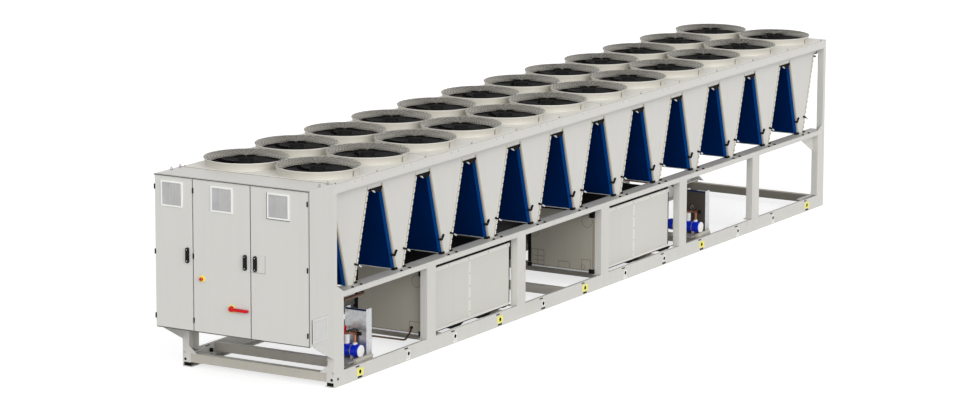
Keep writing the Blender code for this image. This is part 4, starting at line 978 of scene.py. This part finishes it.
post_bolts = [((FRONT + 0.082, side * HALF, 0.10), (0, side, 0)) for side in (-1, 1)]
post_bolts += [((FRONT, side * 1.10, 0.098), (-1, 0, 0)) for side in (-1, 1)]
grow("post_bolts", post_bolts, SCREWS, black_plastic, Head_Radius=0.019, Head_Height=0.006)

# %% [markdown]
# ## Cabinet doors
# Black hinges, swing handles, filter vents in white frames, the emergency stop and the main switch ride on their own
# doors, so that they swing with them.

# %% Door furniture
DOORS = {"door_1": dict(left=1.13, right=0.572, hinge=1.134, handle=0.642, vent=0.871, inward=-1),
         "door_2": dict(left=0.555, right=-0.2875, hinge=0.559, handle=-0.2175, vent=0.12375, inward=-1),
         "door_3": dict(left=-0.2975, right=-1.13, hinge=-1.134, handle=-0.3675, vent=-0.70975, inward=1)}
AXIS_X = DOOR_FACE - 0.004
VENT_TOP, VENT, VENT_FRAME, VENT_BAND = 2.503, 0.32, 0.020, 0.032


def add_frame(shape, y, half, bottom, top, outer, inner, proud):
    """A square ring on a door, between two distances from its outer edge."""
    for low, high in (((-half + outer, bottom + outer), (half - outer, bottom + inner)),
                      ((-half + outer, top - inner), (half - outer, top - outer)),
                      ((-half + outer, bottom + inner), (-half + inner, top - inner)),
                      ((half - inner, bottom + inner), (half - outer, top - inner))):
        add_block(shape, (DOOR_FACE - proud, y + low[0], low[1]), (DOOR_FACE + 0.001, y + high[0], high[1]))


for name, door in DOORS.items():
    hinges, handle, rim, band, pad = (bmesh.new() for k in range(5))
    for z in (0.775, 1.59, 2.414):
        add_lathe(hinges, [(0.0070, z - 0.033), (0.0082, z - 0.030), (0.0082, z + 0.030), (0.0070, z + 0.033)], 16,
                  (AXIS_X, door["hinge"], 0))
        ys = sorted((door["hinge"], door["hinge"] + door["inward"] * 0.014))
        add_block(hinges, (DOOR_FACE - 0.0058, ys[0], z - 0.0305), (DOOR_FACE + 0.001, ys[1], z + 0.0305))
    keep(f"hinges_{name}", hinges, black_plastic, name)
    y, z = door["handle"], 1.591
    for half, tall, low, high in ((0.0235, 0.099, -0.018, 0.001), (0.0222, 0.0975, -0.030, -0.017)):
        ring = []
        for j in range(24):
            a = 2 * math.pi * (j + 0.5) / 24
            ring.append((y + half * math.cos(a), z + half * math.sin(a) + math.copysign(tall - half, math.sin(a))))
        add_prism(handle, ring, "X", DOOR_FACE + low, DOOR_FACE + high)
    keep(f"handle_{name}", handle, black_plastic, name, bevel=0.003, segments=2)
    grow(f"handle_screws_{name}", [((DOOR_FACE - 0.030, y, z + s * 0.072), (-1, 0, 0)) for s in (-1, 1)], SCREWS, zinc, name,
         Head_Radius=0.006, Head_Height=0.002)
    y, top, bottom = door["vent"], VENT_TOP + 0.001, VENT_TOP - VENT - 0.001
    half = VENT / 2 + 0.001
    add_frame(rim, y, half, bottom, top, 0.0, VENT_FRAME, 0.0125)
    add_frame(band, y, half, bottom, top, VENT_FRAME, VENT_BAND, 0.0112)
    keep(f"vent_rim_{name}", rim, white_frame, name)
    keep(f"vent_band_{name}", band, filter_grey, name)
    add_block(pad, (DOOR_FACE - 0.0045, y - half + 0.03, bottom + 0.03), (DOOR_FACE - 0.003, y + half - 0.03, top - 0.03))
    keep(f"vent_filter_{name}", pad, filter_grey, name)
    centre = (DOOR_FACE - 0.0075, y - 0.045, VENT_TOP - VENT / 2)
    grow(f"vent_slats_{name}", [(centre, (-1, 0, 0))], SLATS, slat_grey, name, Count=12, Pitch=0.0215, Length=0.170,
         Depth=0.006, Thickness=0.008, Tilt=0.0, Spin=0.0)
    grow(f"vent_bars_{name}", [(centre, (-1, 0, 0))], SLATS, slat_grey, name, Count=8, Pitch=0.0215, Length=0.256,
         Depth=0.005, Thickness=0.008, Tilt=0.0, Spin=math.pi / 2)

# %% Emergency stop and main switch
shape = bmesh.new()
add_lathe(shape, [(0.039, DOOR_FACE + 0.001), (0.0405, DOOR_FACE - 0.004), (0.040, DOOR_FACE - 0.0125),
                  (0.036, DOOR_FACE - 0.0135)], 32, (0, 0.43, 1.315), axis="X")
keep("stop_collar", shape, safety_yellow, "door_2")
shape = bmesh.new()
add_lathe(shape, [(0.0225, DOOR_FACE - 0.012), (0.0232, DOOR_FACE - 0.027), (0.0245, DOOR_FACE - 0.030),
                  (0.0245, DOOR_FACE - 0.036), (0.020, DOOR_FACE - 0.042), (0.009, DOOR_FACE - 0.0435)], 32,
          (0, 0.43, 1.315), axis="X")
keep("stop_button", shape, safety_red, "door_2")
SWITCH_Y, SWITCH_Z = -0.01, 0.985
shape = bmesh.new()
add_lathe(shape, [(0.050, DOOR_FACE + 0.001), (0.052, DOOR_FACE - 0.002), (0.050, DOOR_FACE - 0.004),
                  (0.0415, DOOR_FACE - 0.004), (0.0415, DOOR_FACE + 0.001)], 40, (0, SWITCH_Y, SWITCH_Z), axis="X",
          closed=True)
keep("switch_escutcheon", shape, safety_yellow, "door_2")
shape = bmesh.new()
face = DOOR_FACE - 0.0003
add_lathe(shape, [(0.033, face), (0.035, face - 0.004), (0.034, face - 0.030), (0.030, face - 0.034)], 32,
          (0, SWITCH_Y, SWITCH_Z), axis="X")
arm = [(SWITCH_Y + 0.016, SWITCH_Z - 0.022), (SWITCH_Y + 0.020, SWITCH_Z), (SWITCH_Y + 0.016, SWITCH_Z + 0.022),
       (SWITCH_Y - 0.05, SWITCH_Z + 0.020), (SWITCH_Y - 0.252, SWITCH_Z + 0.018), (SWITCH_Y - 0.264, SWITCH_Z + 0.010),
       (SWITCH_Y - 0.264, SWITCH_Z - 0.010), (SWITCH_Y - 0.252, SWITCH_Z - 0.018), (SWITCH_Y - 0.05, SWITCH_Z - 0.020)]
add_prism(shape, arm, "X", face - 0.0545, face - 0.024)
lever = keep("switch_lever", shape, safety_red, "switch", bevel=0.005, segments=3)
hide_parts("main_switch")

# %% Roof lip, plate round the third handle, lifting eyes and side vents
shape = bmesh.new()
add_prism(shape, [(DOOR_FACE - 0.0065, CABINET_TOP - 0.0155), (DOOR_FACE - 0.0065, CABINET_TOP - 0.001),
                  (DOOR_FACE + 0.012, CABINET_TOP + 0.001), (DOOR_FACE + 0.012, CABINET_TOP - 0.003)], "Y", -HALF, HALF)
# The roof lip takes the brighter coat, a painted highlight on the lit edge.
keep("roof_lip", shape, edge_coat)
shape, plate_shadow = bmesh.new(), bmesh.new()
add_block(shape, (DOOR_FACE - 0.002, -0.509, 1.481), (DOOR_FACE + 0.001, -0.315, 1.705))
# Thin brown strips under the plate and along its -Y edge: painted shadow of the plate's edge.
add_block(plate_shadow, (DOOR_FACE - 0.0024, -0.509, 1.478), (DOOR_FACE + 0.001, -0.315, 1.484))
add_block(plate_shadow, (DOOR_FACE - 0.0024, -0.511, 1.482), (DOOR_FACE + 0.001, -0.507, 1.705))
keep("handle_plate", shape, cabinet_coat, "door_3", bevel=0.0008)
keep("handle_plate_seam", plate_shadow, seam_brown, "door_3")
shade_strips = bmesh.new()
# Black strips on door 3: painted shade in the gap at its edge next to door 2, and painted shadow along the vent rim's
# +Y side and under it.
add_block(shade_strips, (DOOR_FACE - 0.0006, -0.3015, door_low[2] + 0.002), (DOOR_FACE + 0.001, -0.2977, door_high[2] - 0.002))
y, low, high = DOORS["door_3"]["vent"] + VENT / 2, VENT_TOP - VENT, VENT_TOP
add_block(shade_strips, (DOOR_FACE - 0.0090, y + 0.0012, low - 0.009), (DOOR_FACE + 0.001, y + 0.0100, high))
add_block(shade_strips, (DOOR_FACE - 0.0090, y - VENT, low - 0.009), (DOOR_FACE + 0.001, y + 0.0012, low - 0.0014))
keep("door_seals", shade_strips, black_rubber, "door_3")
eyes = bmesh.new()
for side, x in [(side, FRONT - back) for side in (-1, 1) for back in (0.255, 0.07)]:
    add_lathe(eyes, [(r, CABINET_TOP + h) for r, h in ((0.016, 0.0), (0.018, 0.003), (0.016, 0.006))], 16,
              (x, side * (HALF - 0.04), 0))
    path = [(x + 0.017 * math.cos(a), side * (HALF - 0.04), CABINET_TOP + 0.019 + 0.017 * math.sin(a))
            for a in (2 * math.pi * j / 16 for j in range(17))]
    add_tube(eyes, path, 0.0045, 8, bend=0.0)
keep("lifting_eyes", eyes, screw_steel)
side_rim, side_pad = bmesh.new(), bmesh.new()
ribs = []
for side in (-1, 1):
    face = side * HALF
    right, low = FRONT - 0.145, 0.66
    left, high = right - 0.355, low + 0.30
    for a, b in (((left, low), (right, low + 0.032)), ((left, high - 0.032), (right, high)),
                 ((left, low + 0.032), (left + 0.032, high - 0.032)), ((right - 0.032, low + 0.032), (right, high - 0.032))):
        add_block(side_rim, (a[0], min(face, face + side * 0.012), a[1]), (b[0], max(face, face + side * 0.012), b[1]))
    ys = sorted((face + side * 0.001, face + side * 0.003))
    add_block(side_pad, (left + 0.03, ys[0], low + 0.03), (right - 0.03, ys[1], high - 0.03))
    ribs.append((((left + right) / 2, face + side * 0.004, (low + high) / 2), (0, side, 0)))
keep("side_vent_rims", side_rim, pale_frame)
keep("side_vent_pads", side_pad, slat_grey)
grow("side_vent_bars", ribs, SLATS, pale_frame, Count=14, Pitch=0.021, Length=0.24, Depth=0.004, Thickness=0.009, Tilt=0.0)

# %% [markdown]
# ## Sound boxes
# The compressors sit in panelled boxes. The near face is two panels with a bright cover strip over their joint, and the
# ends carry the outlines of knock-outs for pipes. Black blocks fill the gap to the rail above and cover the tops:
# painted shade there.

# %% Sound boxes
walls, trim, corners, feet_and_lip_shade, outlines, lower_rails, ends, end_shade_strips = (bmesh.new() for k in range(8))
box_screws = []


def add_outline(shape, x, y0, y1, z0, z1, sides="tblr", width=0.011):
    """The outline of a knock-out on a face that looks along -X; sides names the edges that show."""
    bars = {"b": ((y0, z0), (y1, z0 + width)), "t": ((y0, z1 - width), (y1, z1)),
            "l": ((y0, z0), (y0 + width, z1)), "r": ((y1 - width, z0), (y1, z1))}
    for key in sides:
        low, high = bars[key]
        add_block(shape, (x - 0.0012, low[0], low[1]), (x + 0.0005, high[0], high[1]))


def add_arc(shape, x, y, z, radius, width=0.010):
    """The ring of a round knock-out on a face that looks along -X."""
    add_lathe(shape, [(radius, x + 0.0005), (radius, x - 0.0012), (radius - width, x - 0.0012), (radius - width, x + 0.0005)],
              32, (0, y, z), axis="X", closed=True)


for number in (1, 2):
    low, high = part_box(f"sound_box_{number}")
    x0, x1, z1 = low[0], high[0] - 0.03, high[2]
    y0, y1, z0 = -1.03, 0.0, 0.206
    joint = x0 + 1.17
    add_block(walls, (x0, y0 + 0.004, z0 + 0.004), (x1, y1, z1))
    add_block(walls, (x0 + 0.004, y0, z0 + 0.034), (joint - 0.004, y0 + 0.005, z1 - 0.045))
    add_block(walls, (joint + 0.004, y0, z0 + 0.034), (x1 - 0.004, y0 + 0.005, z1 - 0.045))
    add_block(trim, (x0, y0 - 0.008, z1 - 0.050), (x1, y0 + 0.004, z1))
    add_block(trim, (joint - 0.026, y0 - 0.008, z0 + 0.03), (joint + 0.026, y0 + 0.001, z1 - 0.048))
    add_prism(trim, [(y0 - 0.010, z0), (y0 + 0.02, z0), (y0 + 0.02, z0 + 0.03), (y0 - 0.004, z0 + 0.03)], "X", x0, x1)
    # A black strip down the near face's right edge: painted shade of the gap to the post.
    add_block(corners, (x1 - 0.014, y0 - 0.004, z0 + 0.02), (x1 + 0.001, y0 + 0.004, z1 - 0.02))
    for k in range(5):
        box_screws.append(((joint, y0 - 0.008, z0 + 0.10 + k * 0.17), (0, -1, 0)))
        box_screws.append(((x0 + 0.14 + k * 0.5, y0 - 0.008, z1 - 0.027), (0, -1, 0)))
    # A black strip over the near top edge, a black sheet on the top and a black block past the right end: painted shade
    # of the gaps round the box.
    add_block(corners, (x0 + 0.004, y0 + 0.004, z1 + 0.0002), (x1 - 0.004, y0 + 0.03, z1 + 0.062))
    add_block(corners, (x0 + 0.02, y0 + 0.03, z1 + 0.0002), (x1 - 0.02, y1 - 0.03, z1 + 0.008))
    add_block(corners, (x1, y0 + 0.006, z0 + 0.55), (x1 + 0.012, y0 + 0.03, z1 - 0.02))
    for y, z in ((y0, z1 - 0.055), (y0, z0), (y1 - 0.05, z0)):
        reach = 0.085 if y == y0 else 0.045
        add_block(corners, (x0 - 0.012, y - 0.010, z - 0.003), (x0 + reach, y + 0.055, z + 0.055))
    add_block(corners, (x0 - 0.002, y1 - 0.05, z0 + 0.06), (x0 + 0.03, y1 + 0.002, z1))
    add_block(lower_rails, (x0 - 0.006, y0 + 0.06, z0 + 0.008), (x0 + 0.001, y1 - 0.06, z0 + 0.026))
    add_block(outlines, (x0 - 0.0012, y0 + 0.06, z0 + 0.030), (x0 + 0.001, y1 - 0.06, z0 + 0.038))
    for place in ((0.76, 1.47) if number == 1 else (1.08, 2.02)):
        x = x0 + place
        for y in (y0 - 0.04, y1 - 0.10):
            add_prism(feet_and_lip_shade, [(x - 0.12, 0.179), (x + 0.12, 0.179), (x + 0.20, z0), (x - 0.20, z0)], "Y", y, y + 0.10)
    # A black strip under the near bottom lip: painted shadow of the lip.
    add_block(feet_and_lip_shade, (x0 + 0.07, y0 - 0.011, z0 - 0.009), (x1, y0 + 0.015, z0 - 0.0002))
    feet_end = x1 - 0.10
    add_prism(feet_and_lip_shade, [(feet_end - 0.05, 0.179), (feet_end + 0.05, 0.179), (feet_end + 0.05, z0), (feet_end - 0.05, z0)], "Y",
              y0 + 0.01, y0 + 0.09)
    # The end faces take the darker coat, painted shade.
    add_block(ends, (x0 - 0.0006, y0 + 0.004, z0 + 0.004), (x0 + 0.002, y1 - 0.001, z1 - 0.001))
    # A dark strip on the near face next to the end: painted shade standing for the shaded end, which shows wider.
    add_block(end_shade_strips, (x0 - 0.0004, y0 - 0.0092, z0 + 0.004), (x0 + 0.066, y0 + 0.003, z1 - 0.001))
    if number == 1:
        add_arc(outlines, x0, -0.945, 0.915, 0.082)
        add_outline(outlines, x0, -1.02, -0.83, z0 + 0.04, 0.385, "tr")
    else:
        add_arc(outlines, x0, -0.935, 0.93, 0.088)
        add_arc(outlines, x0, -0.10, 0.70, 0.072)
        add_outline(outlines, x0, -0.26, -0.055, z0 + 0.035, 0.460)
        for z in (0.30, 0.36):
            add_outline(outlines, x0, -0.26, -0.055, z, z + 0.011, "b")
        add_outline(outlines, x0, -0.161, -0.150, z0 + 0.035, 0.460, "l")
        add_outline(outlines, x0, -0.67, -0.48, z0 + 0.035, 0.335, "tlr")
        add_outline(outlines, x0, -1.00, -0.85, z0 + 0.035, 0.395, "tlr")
        add_arc(outlines, x0, -0.88, 0.28, 0.035)
boxes = keep("sound_box_walls", walls, box_coat)
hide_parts("sound_box_1", "sound_box_2")
keep("box_trim", trim, trim_coat, bevel=0.003)
keep("box_foam", corners, black_rubber)
keep("box_feet", feet_and_lip_shade, black_rubber)
keep("box_ends", ends, box_end_coat)
keep("box_end_posts", end_shade_strips, shaded_coat)
keep("box_outlines", outlines, seam_brown)
keep("box_lower_rails", lower_rails, zinc)
grow("box_screws", box_screws, SCREWS, screw_steel, Head_Radius=0.011)

# %% [markdown]
# ## Filter driers
# Each liquid line passes a blue drier on a painted tray, with a copper riser, a capped service valve and a zinc-plated
# upright behind it. The pieces together stand for one solid of the CAD model.

# %% Drier groups
shells, trays, tins, tubes, caps_black, white_parts, lagged, reds, rings, upright_web_shade, coil_reflection_strip, fronts = (bmesh.new() for k in range(12))
NEAR, FLOOR = -1.0, 0.1783
AXIS_Z = FLOOR + 0.106
for number, place in enumerate((0.842, 10.042)):
    x = FRONT + place
    add_lathe(shells, [(0.05, NEAR + 0.012), (0.074, NEAR + 0.016), (0.081, NEAR + 0.026), (0.082, NEAR + 0.040),
                       (0.082, NEAR + 0.50), (0.074, NEAR + 0.53), (0.04, NEAR + 0.55)], 32, (x, 0, AXIS_Z), axis="Y")
    add_lathe(white_parts, [(0.020, NEAR), (0.066, NEAR + 0.001), (0.078, NEAR + 0.005), (0.079, NEAR + 0.013),
                            (0.05, NEAR + 0.017)], 28, (x, 0, AXIS_Z), axis="Y")
    for y in (NEAR + 0.12, NEAR + 0.42):
        add_lathe(rings, [(0.0835, y), (0.0835, y + 0.012), (0.0815, y + 0.012), (0.0815, y)], 32, (x, 0, AXIS_Z),
                  axis="Y", closed=True)
    for y in (NEAR + 0.10, NEAR + 0.27):
        add_prism(trays, [(x - 0.06, FLOOR + 0.003), (x + 0.06, FLOOR + 0.003), (x + 0.06, AXIS_Z - 0.03),
                          (x + 0.045, AXIS_Z - 0.06), (x, AXIS_Z - 0.078), (x - 0.045, AXIS_Z - 0.06), (x - 0.06, AXIS_Z - 0.03)],
                  "Y", y, y + 0.03)
    add_prism(trays, [(NEAR, FLOOR), (NEAR + 0.34, FLOOR), (NEAR + 0.34, FLOOR + 0.02), (NEAR + 0.334, FLOOR + 0.02),
                      (NEAR + 0.334, FLOOR + 0.006), (NEAR + 0.006, FLOOR + 0.006), (NEAR + 0.006, FLOOR + 0.02),
                      (NEAR, FLOOR + 0.02)], "X", x - 0.30, x + 0.28)
    add_prism(fronts, [(NEAR - 0.045, 0.155), (NEAR - 0.001, 0.155), (NEAR - 0.001, FLOOR + 0.040),
                       (NEAR - 0.030, FLOOR + 0.036), (NEAR - 0.045, FLOOR + 0.022)], "X", x - 0.19, x + 0.20)
    up_low, up_high, web = FLOOR + 0.006, FLOOR + 0.62, x + 0.12
    # The second upright's web is covered dark brown: painted shade, a darker copy of the same zinc upright.
    if number:
        add_block(upright_web_shade, (web - 0.001, NEAR + 0.004, up_low + 0.002), (web + 0.0005, NEAR + 0.316, up_high - 0.012))
    # A navy strip along the top of each upright's web: painted reflection of the blue coils above.
    add_block(coil_reflection_strip, (web - 0.0012, NEAR + 0.004, up_high - 0.026), (web + 0.0005, NEAR + 0.316, up_high - 0.001))
    add_prism(tins, [(web, NEAR), (web + 0.124, NEAR), (web + 0.124, NEAR + 0.006), (web + 0.006, NEAR + 0.006),
                     (web + 0.006, NEAR + 0.314), (web + 0.124, NEAR + 0.314), (web + 0.124, NEAR + 0.32), (web, NEAR + 0.32)],
              "Z", up_low, up_high)
    riser_y, pipe_z = NEAR + 0.095, AXIS_Z + 0.225
    add_lathe(white_parts, [(0.026, AXIS_Z + 0.07), (0.029, AXIS_Z + 0.074), (0.029, AXIS_Z + 0.10), (0.022, AXIS_Z + 0.105)],
              24, (x, riser_y, 0))
    add_lathe(white_parts, [(0.030, AXIS_Z + 0.075), (0.038, AXIS_Z + 0.085), (0.038, AXIS_Z + 0.19), (0.030, AXIS_Z + 0.20)],
              24, (x, NEAR + 0.215, 0))
    add_tube(tubes, [(x, riser_y, AXIS_Z + 0.09), (x, riser_y, pipe_z)], 0.018, 14)
    add_tube(tubes, [(x, NEAR + 0.04, pipe_z), (x, NEAR + 0.40, pipe_z)], 0.021, 14)
    add_lathe(tubes, [(0.026, NEAR + 0.072), (0.026, NEAR + 0.118)], 18, (x, 0, pipe_z), axis="Y")
    add_lathe(caps_black, [(0.018, NEAR), (0.026, NEAR + 0.004), (0.026, NEAR + 0.05), (0.022, NEAR + 0.055)], 18,
              (x, 0, pipe_z), axis="Y")
    add_tube(lagged, [(x - 0.10, NEAR + 0.13, pipe_z + 0.045), (x + 0.104, NEAR + 0.13, pipe_z + 0.032),
                      (x + 0.104, NEAR + 0.13, FLOOR + 0.05)], 0.012, 12)
    add_lathe(rings, [(0.045, NEAR + 0.15), (0.045, NEAR + 0.16), (0.034, NEAR + 0.16), (0.034, NEAR + 0.15)], 24,
              (x, 0, pipe_z + 0.045), axis="Y", closed=True)
    if number:
        continue
    add_block(reds, (x - 0.03, NEAR + 0.235, AXIS_Z + 0.07), (x + 0.02, NEAR + 0.265, AXIS_Z + 0.30))
drier = keep("drier_shells", shells, drier_blue)
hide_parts("drier_group_1", "drier_group_2")
keep("drier_white_parts", white_parts, label_white)
keep("drier_trays", trays, tray_coat)
keep("tray_fronts", fronts, cross_coat)
keep("drier_uprights", tins, zinc)
keep("drier_pipes", tubes, copper)
keep("upright_lining", upright_web_shade, seam_dark)
keep("upright_edges", coil_reflection_strip, end_plate_navy)
keep("drier_rings", rings, screw_steel)
keep("drier_valves", reds, safety_red)
keep("valve_caps", caps_black, black_plastic)
keep("lagged_pipes", lagged, foam)

# %% Copper lines under the machine
shape, thin, ends = bmesh.new(), bmesh.new(), bmesh.new()
add_tube(shape, [(FRONT + 0.36, -1.045, 1.04), (FRONT + 0.85, -1.045, 1.04), (FRONT + 0.93, -0.9, 1.04),
                 (FRONT + 0.93, 0.3, 1.04)], 0.0215, 16, bend=0.08)
add_tube(shape, [(FRONT + 9.46, -1.0, 1.0), (FRONT + 9.46, 0.3, 1.0)], 0.03, 16)
add_tube(thin, [(FRONT + 1.0, -0.9, 0.40), (FRONT + 1.253, -0.9, 0.391), (FRONT + 2.07, -0.89, 0.172),
                (FRONT + 2.198, -0.875, 0.24), (FRONT + 2.262, -0.87, 0.30)], 0.0125, 10, bend=0.06)
add_lathe(ends, [(0.017, FRONT + 2.235), (0.019, FRONT + 2.240), (0.019, FRONT + 2.262)], 12, (0, -0.87, 0.30), axis="X")
keep("copper_lines", shape, aged_copper)
keep("thin_line", thin, dark_copper)
keep("thin_line_end", ends, black_plastic)

# %% [markdown]
# ## Inside the cabinet
# Only an open door shows it: a plain back plate with wiring ducts, rows of breakers on rails and two large drives. The
# breakers repeat along their rails, so a small tree sets them out.

# %% Back plate, ducts and drives
plate, ducts, drives, rail_bars, faces = (bmesh.new() for k in range(5))
inner_back = FRONT - 0.022
add_block(plate, (inner_back - 0.004, -1.06, 0.70), (inner_back - 0.001, 1.06, 2.49))
for y0, y1, z0, z1 in ((-1.0, 1.0, 2.40, 2.46), (-1.0, 1.0, 1.78, 1.84), (-1.0, 1.0, 1.20, 1.26), (-1.0, -0.94, 0.78, 2.38),
                       (-0.30, -0.24, 0.78, 2.38), (0.54, 0.60, 0.78, 2.38), (0.94, 1.0, 0.78, 2.38)):
    add_block(ducts, (inner_back - 0.07, y0, z0), (inner_back - 0.005, y1, z1))
for y0, y1, z0, z1 in ((-0.90, -0.36, 0.76, 1.16), (-0.20, 0.50, 0.76, 1.16), (0.64, 0.92, 0.76, 1.16)):
    add_block(drives, (inner_back - 0.26, y0, z0), (inner_back - 0.005, y1, z1))
    add_block(faces, (inner_back - 0.264, y0 + 0.04, z1 - 0.16), (inner_back - 0.259, y1 - 0.04, z1 - 0.05))
breakers = []
for z in (1.38, 1.62, 1.96, 2.22):
    for y0, y1 in ((-0.88, -0.36), (-0.18, 0.48), (0.64, 0.90)):
        add_block(rail_bars, (inner_back - 0.014, y0, z - 0.018), (inner_back - 0.005, y1, z + 0.018))
        count = int((y1 - y0) / 0.056)
        breakers += [((inner_back - 0.05, y0 + 0.028 + 0.056 * k, z), (-1, 0, 0)) for k in range(count)]
keep("back_plate", plate, zinc)
keep("wiring_ducts", ducts, slat_grey, bevel=0.003)
keep("drives", drives, motor_grey, bevel=0.008)
keep("drive_panels", faces, white_frame, bevel=0.002)
keep("device_rails", rail_bars, zinc)
grow("breakers", breakers, SLATS, white_frame, Count=2, Pitch=0.052, Length=0.050, Depth=0.07, Thickness=0.046, Tilt=0.0)
grow("breaker_levers", [((p[0] - 0.040, p[1], p[2]), f) for p, f in breakers], SLATS, black_plastic, Count=1, Pitch=0.01,
     Length=0.016, Depth=0.018, Thickness=0.014, Tilt=0.3)

# %% [markdown]
# ## Floor and light
# The photograph has a white background. The floor and the world show white to the camera only, so the light on the
# machine stays at a plain level, and the floor still takes the machine's shadow.

# %% Floor
def white_to_camera(tree, strength):
    """Mix in plain emission for camera, glossy and transmission rays."""
    path = add_node(tree, "ShaderNodeLightPath")
    seen = combine_maths(tree, "MAXIMUM", path.outputs["Is Camera Ray"],
                         combine_maths(tree, "MAXIMUM", path.outputs["Is Glossy Ray"], path.outputs["Is Transmission Ray"]))
    return combine_maths(tree, "MULTIPLY", seen, strength)


floor_mesh = bpy.data.meshes.new("floor")
floor_mesh.from_pydata([(-60, -60, -0.002), (60, -60, -0.002), (60, 60, -0.002), (-60, 60, -0.002)], [], [(0, 1, 2, 3)])
floor = bpy.data.objects.new("floor", floor_mesh)
bpy.context.scene.collection.objects.link(floor)
floor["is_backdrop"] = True
paper = bpy.data.materials.new("paper_floor")
paper.use_nodes = True
tree = paper.node_tree
shader = tree.nodes["Principled BSDF"]
shader.inputs["Base Color"].default_value = (0.5, 0.5, 0.5, 1.0)
shader.inputs["Roughness"].default_value = 0.9
shader.inputs["Specular IOR Level"].default_value = 0.0
shader.inputs["Emission Color"].default_value = (1, 1, 1, 1)
tree.links.new(white_to_camera(tree, 0.70), shader.inputs["Emission Strength"])
floor_mesh.materials.append(paper)

# %% World and lights
world = bpy.data.worlds.new("studio")
bpy.context.scene.world = world
world.use_nodes = True
tree = world.node_tree
background = tree.nodes["Background"]
level = white_to_camera(tree, 0.45)
tree.links.new(combine_maths(tree, "ADD", level, 0.55), background.inputs["Strength"])
background.inputs["Color"].default_value = (1, 1, 1, 1)


def add_sun(name, direction, strength, softness):
    """A soft sun that shines along a direction."""
    light = bpy.data.lights.new(name, "SUN")
    light.energy = strength
    light.angle = math.radians(softness)
    item = bpy.data.objects.new(name, light)
    item.matrix_world = Vector(direction).to_track_quat("-Z", "Y").to_matrix().to_4x4()
    bpy.context.scene.collection.objects.link(item)
    return item


add_sun("key", (0.42, 0.85, -0.38), 1.37, 45)
add_sun("side", (0.45, 1.0, -0.04), 0.52, 20)
add_sun("fill", (1.0, 0.15, -0.45), 1.05, 40)
bpy.context.scene.view_settings.view_transform = "Standard"

# %% [markdown]
# ## Print both boxes and finish
# The CAD model's box and the dressed model's box are printed side by side.

# %% Write both boxes
visual_box = [list(corner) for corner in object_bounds()]
for name, box in (("cad", cad_box), ("visual", visual_box)):
    print(name, [[round(v, 4) for v in corner] for corner in box])
print("pieces:", len(pieces), "triangles:", sum(len(p.data.polygons) for p in pieces.values()))
